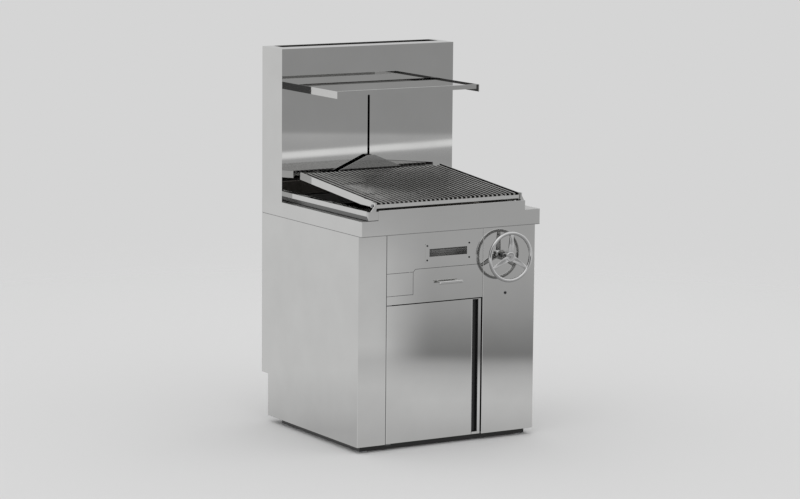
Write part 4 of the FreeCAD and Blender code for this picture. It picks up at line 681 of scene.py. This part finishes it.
# %% World
DRAPE_FOOT = (-0.125, -0.110)
DRAPE_LEVEL = 0.10
TOP_LEVEL = 0.60
SIDE_FOOT, SIDE_HEAD = -0.22, -0.14
OPEN_LEVELS = [(0.26, 0.35), (0.40, 0.79), (0.50, 0.82), (0.62, 0.82), (0.85, 1.0)]
SIDE_LEVELS = [(0.16, 0.55), (0.20, 0.605), (0.24, 0.655), (0.28, 0.685), (0.32, 0.72), (0.395, 0.77),
               (1.0, 0.79)]

height = add(tree, "ShaderNodeVectorMath", DOT_PRODUCT, {0: direction, 1: (0, 0, 1)}).outputs["Value"]
open_place = add(tree, "ShaderNodeMath", MULTIPLY_ADD, {0: height, 1: 0.5, 2: 0.5}).outputs["Value"]
room = grey_stops(add(tree, "ShaderNodeValToRGB", inputs={"Fac": open_place}), OPEN_LEVELS)
side_place = add(tree, "ShaderNodeMapRange",
                 inputs={"Value": height, "From Min": SIDE_FOOT, "From Max": SIDE_HEAD}).outputs["Result"]
side_light = grey_stops(add(tree, "ShaderNodeValToRGB", inputs={"Fac": side_place}), SIDE_LEVELS)
off_the_floor = add(tree, "ShaderNodeMapRange", SMOOTH_STEP,
                    {"Value": height, "From Min": DRAPE_FOOT[0], "From Max": DRAPE_FOOT[1]}).outputs["Result"]
drape = add(tree, "ShaderNodeMath", {"operation": "MULTIPLY"},
            {0: mask["behind"], 1: off_the_floor}).outputs["Value"]
for amount, light in ((drape, grey(DRAPE_LEVEL)), (mask["side"], side_light),
                      (mask["top"], grey(TOP_LEVEL)), (mask["front"], front_light)):
    room = add(tree, "ShaderNodeMix", COLOUR_MIX, {"Factor": amount, "A": room, "B": light}).outputs["Result"]

around = add(tree, "ShaderNodeBackground", inputs={"Color": room, "Strength": 1.0}).outputs["Background"]
seen = add(tree, "ShaderNodeBackground",
           inputs={"Color": linear(BACKGROUND), "Strength": 1.0}).outputs["Background"]
camera_ray = add(tree, "ShaderNodeLightPath").outputs["Is Camera Ray"]
mixed = add(tree, "ShaderNodeMixShader", inputs={0: camera_ray, 1: around, 2: seen}).outputs["Shader"]
add(tree, "ShaderNodeOutputWorld", inputs={"Surface": mixed})
print("world nodes:", len(tree.nodes))

# %% [markdown]
# ## The lamp
#
# The room gives nearly all the light. One weak lamp hangs overhead, a little to the
# front and left, and deepens the shadow on the floor at the right. Its disc is fifty
# degrees wide, so that the shadow has no edge.

# %% Lamp
LAMP_DIRECTION = Vector((0.45, 0.35, -1.0))

sun = bpy.data.lights.new("soft_overhead_lamp", "SUN")
sun.energy = 0.12
sun.angle = math.radians(50)
lamp = bpy.data.objects.new("soft_overhead_lamp", sun)
lamp.rotation_euler = LAMP_DIRECTION.to_track_quat("-Z", "Y").to_euler()
bpy.context.scene.collection.objects.link(lamp)
print("lamp strength:", round(sun.energy, 2))

# %% [markdown]
# ## Camera
#
# The picture was taken from the front left with a long lens, slightly from above. The
# view comes from its compass angle, its dip and a small roll. The room already needed
# the forward and level directions. With the roll they give the camera's right, up and
# backward directions, which are the columns of its matrix.

# %% Camera
ROLL = math.radians(0.478)
CAMERA_PLACE = (-6.2787, -10.4348, 2.5665)

above = level.cross(forward)
right = level * math.cos(ROLL) + above * math.sin(ROLL)
up = above * math.cos(ROLL) - level * math.sin(ROLL)
data = bpy.data.cameras.new("photo_camera")
data.sensor_width = 36
data.lens = 140.27
data.clip_end = 200
camera = bpy.data.objects.new("photo_camera", data)
camera.matrix_world = Matrix((right, up, -forward)).transposed().to_4x4()
camera.location = CAMERA_PLACE
bpy.context.scene.collection.objects.link(camera)
bpy.context.scene.camera = camera
bpy.context.scene.view_settings.view_transform = "Standard"
print("camera lens mm:", round(data.lens, 2))

# %% [markdown]
# ## Check the size and finish
#
# The dressed object should fill the same box as the solids. We print how far its box
# moved from theirs, in millimetres.

# %% Size and end
bpy.context.view_layer.update()
low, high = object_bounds()
change = [a - b for a, b in zip(list(low) + list(high), list(cad_low) + list(cad_high))]
print("size change mm:", [round(v / MM, 2) for v in change])
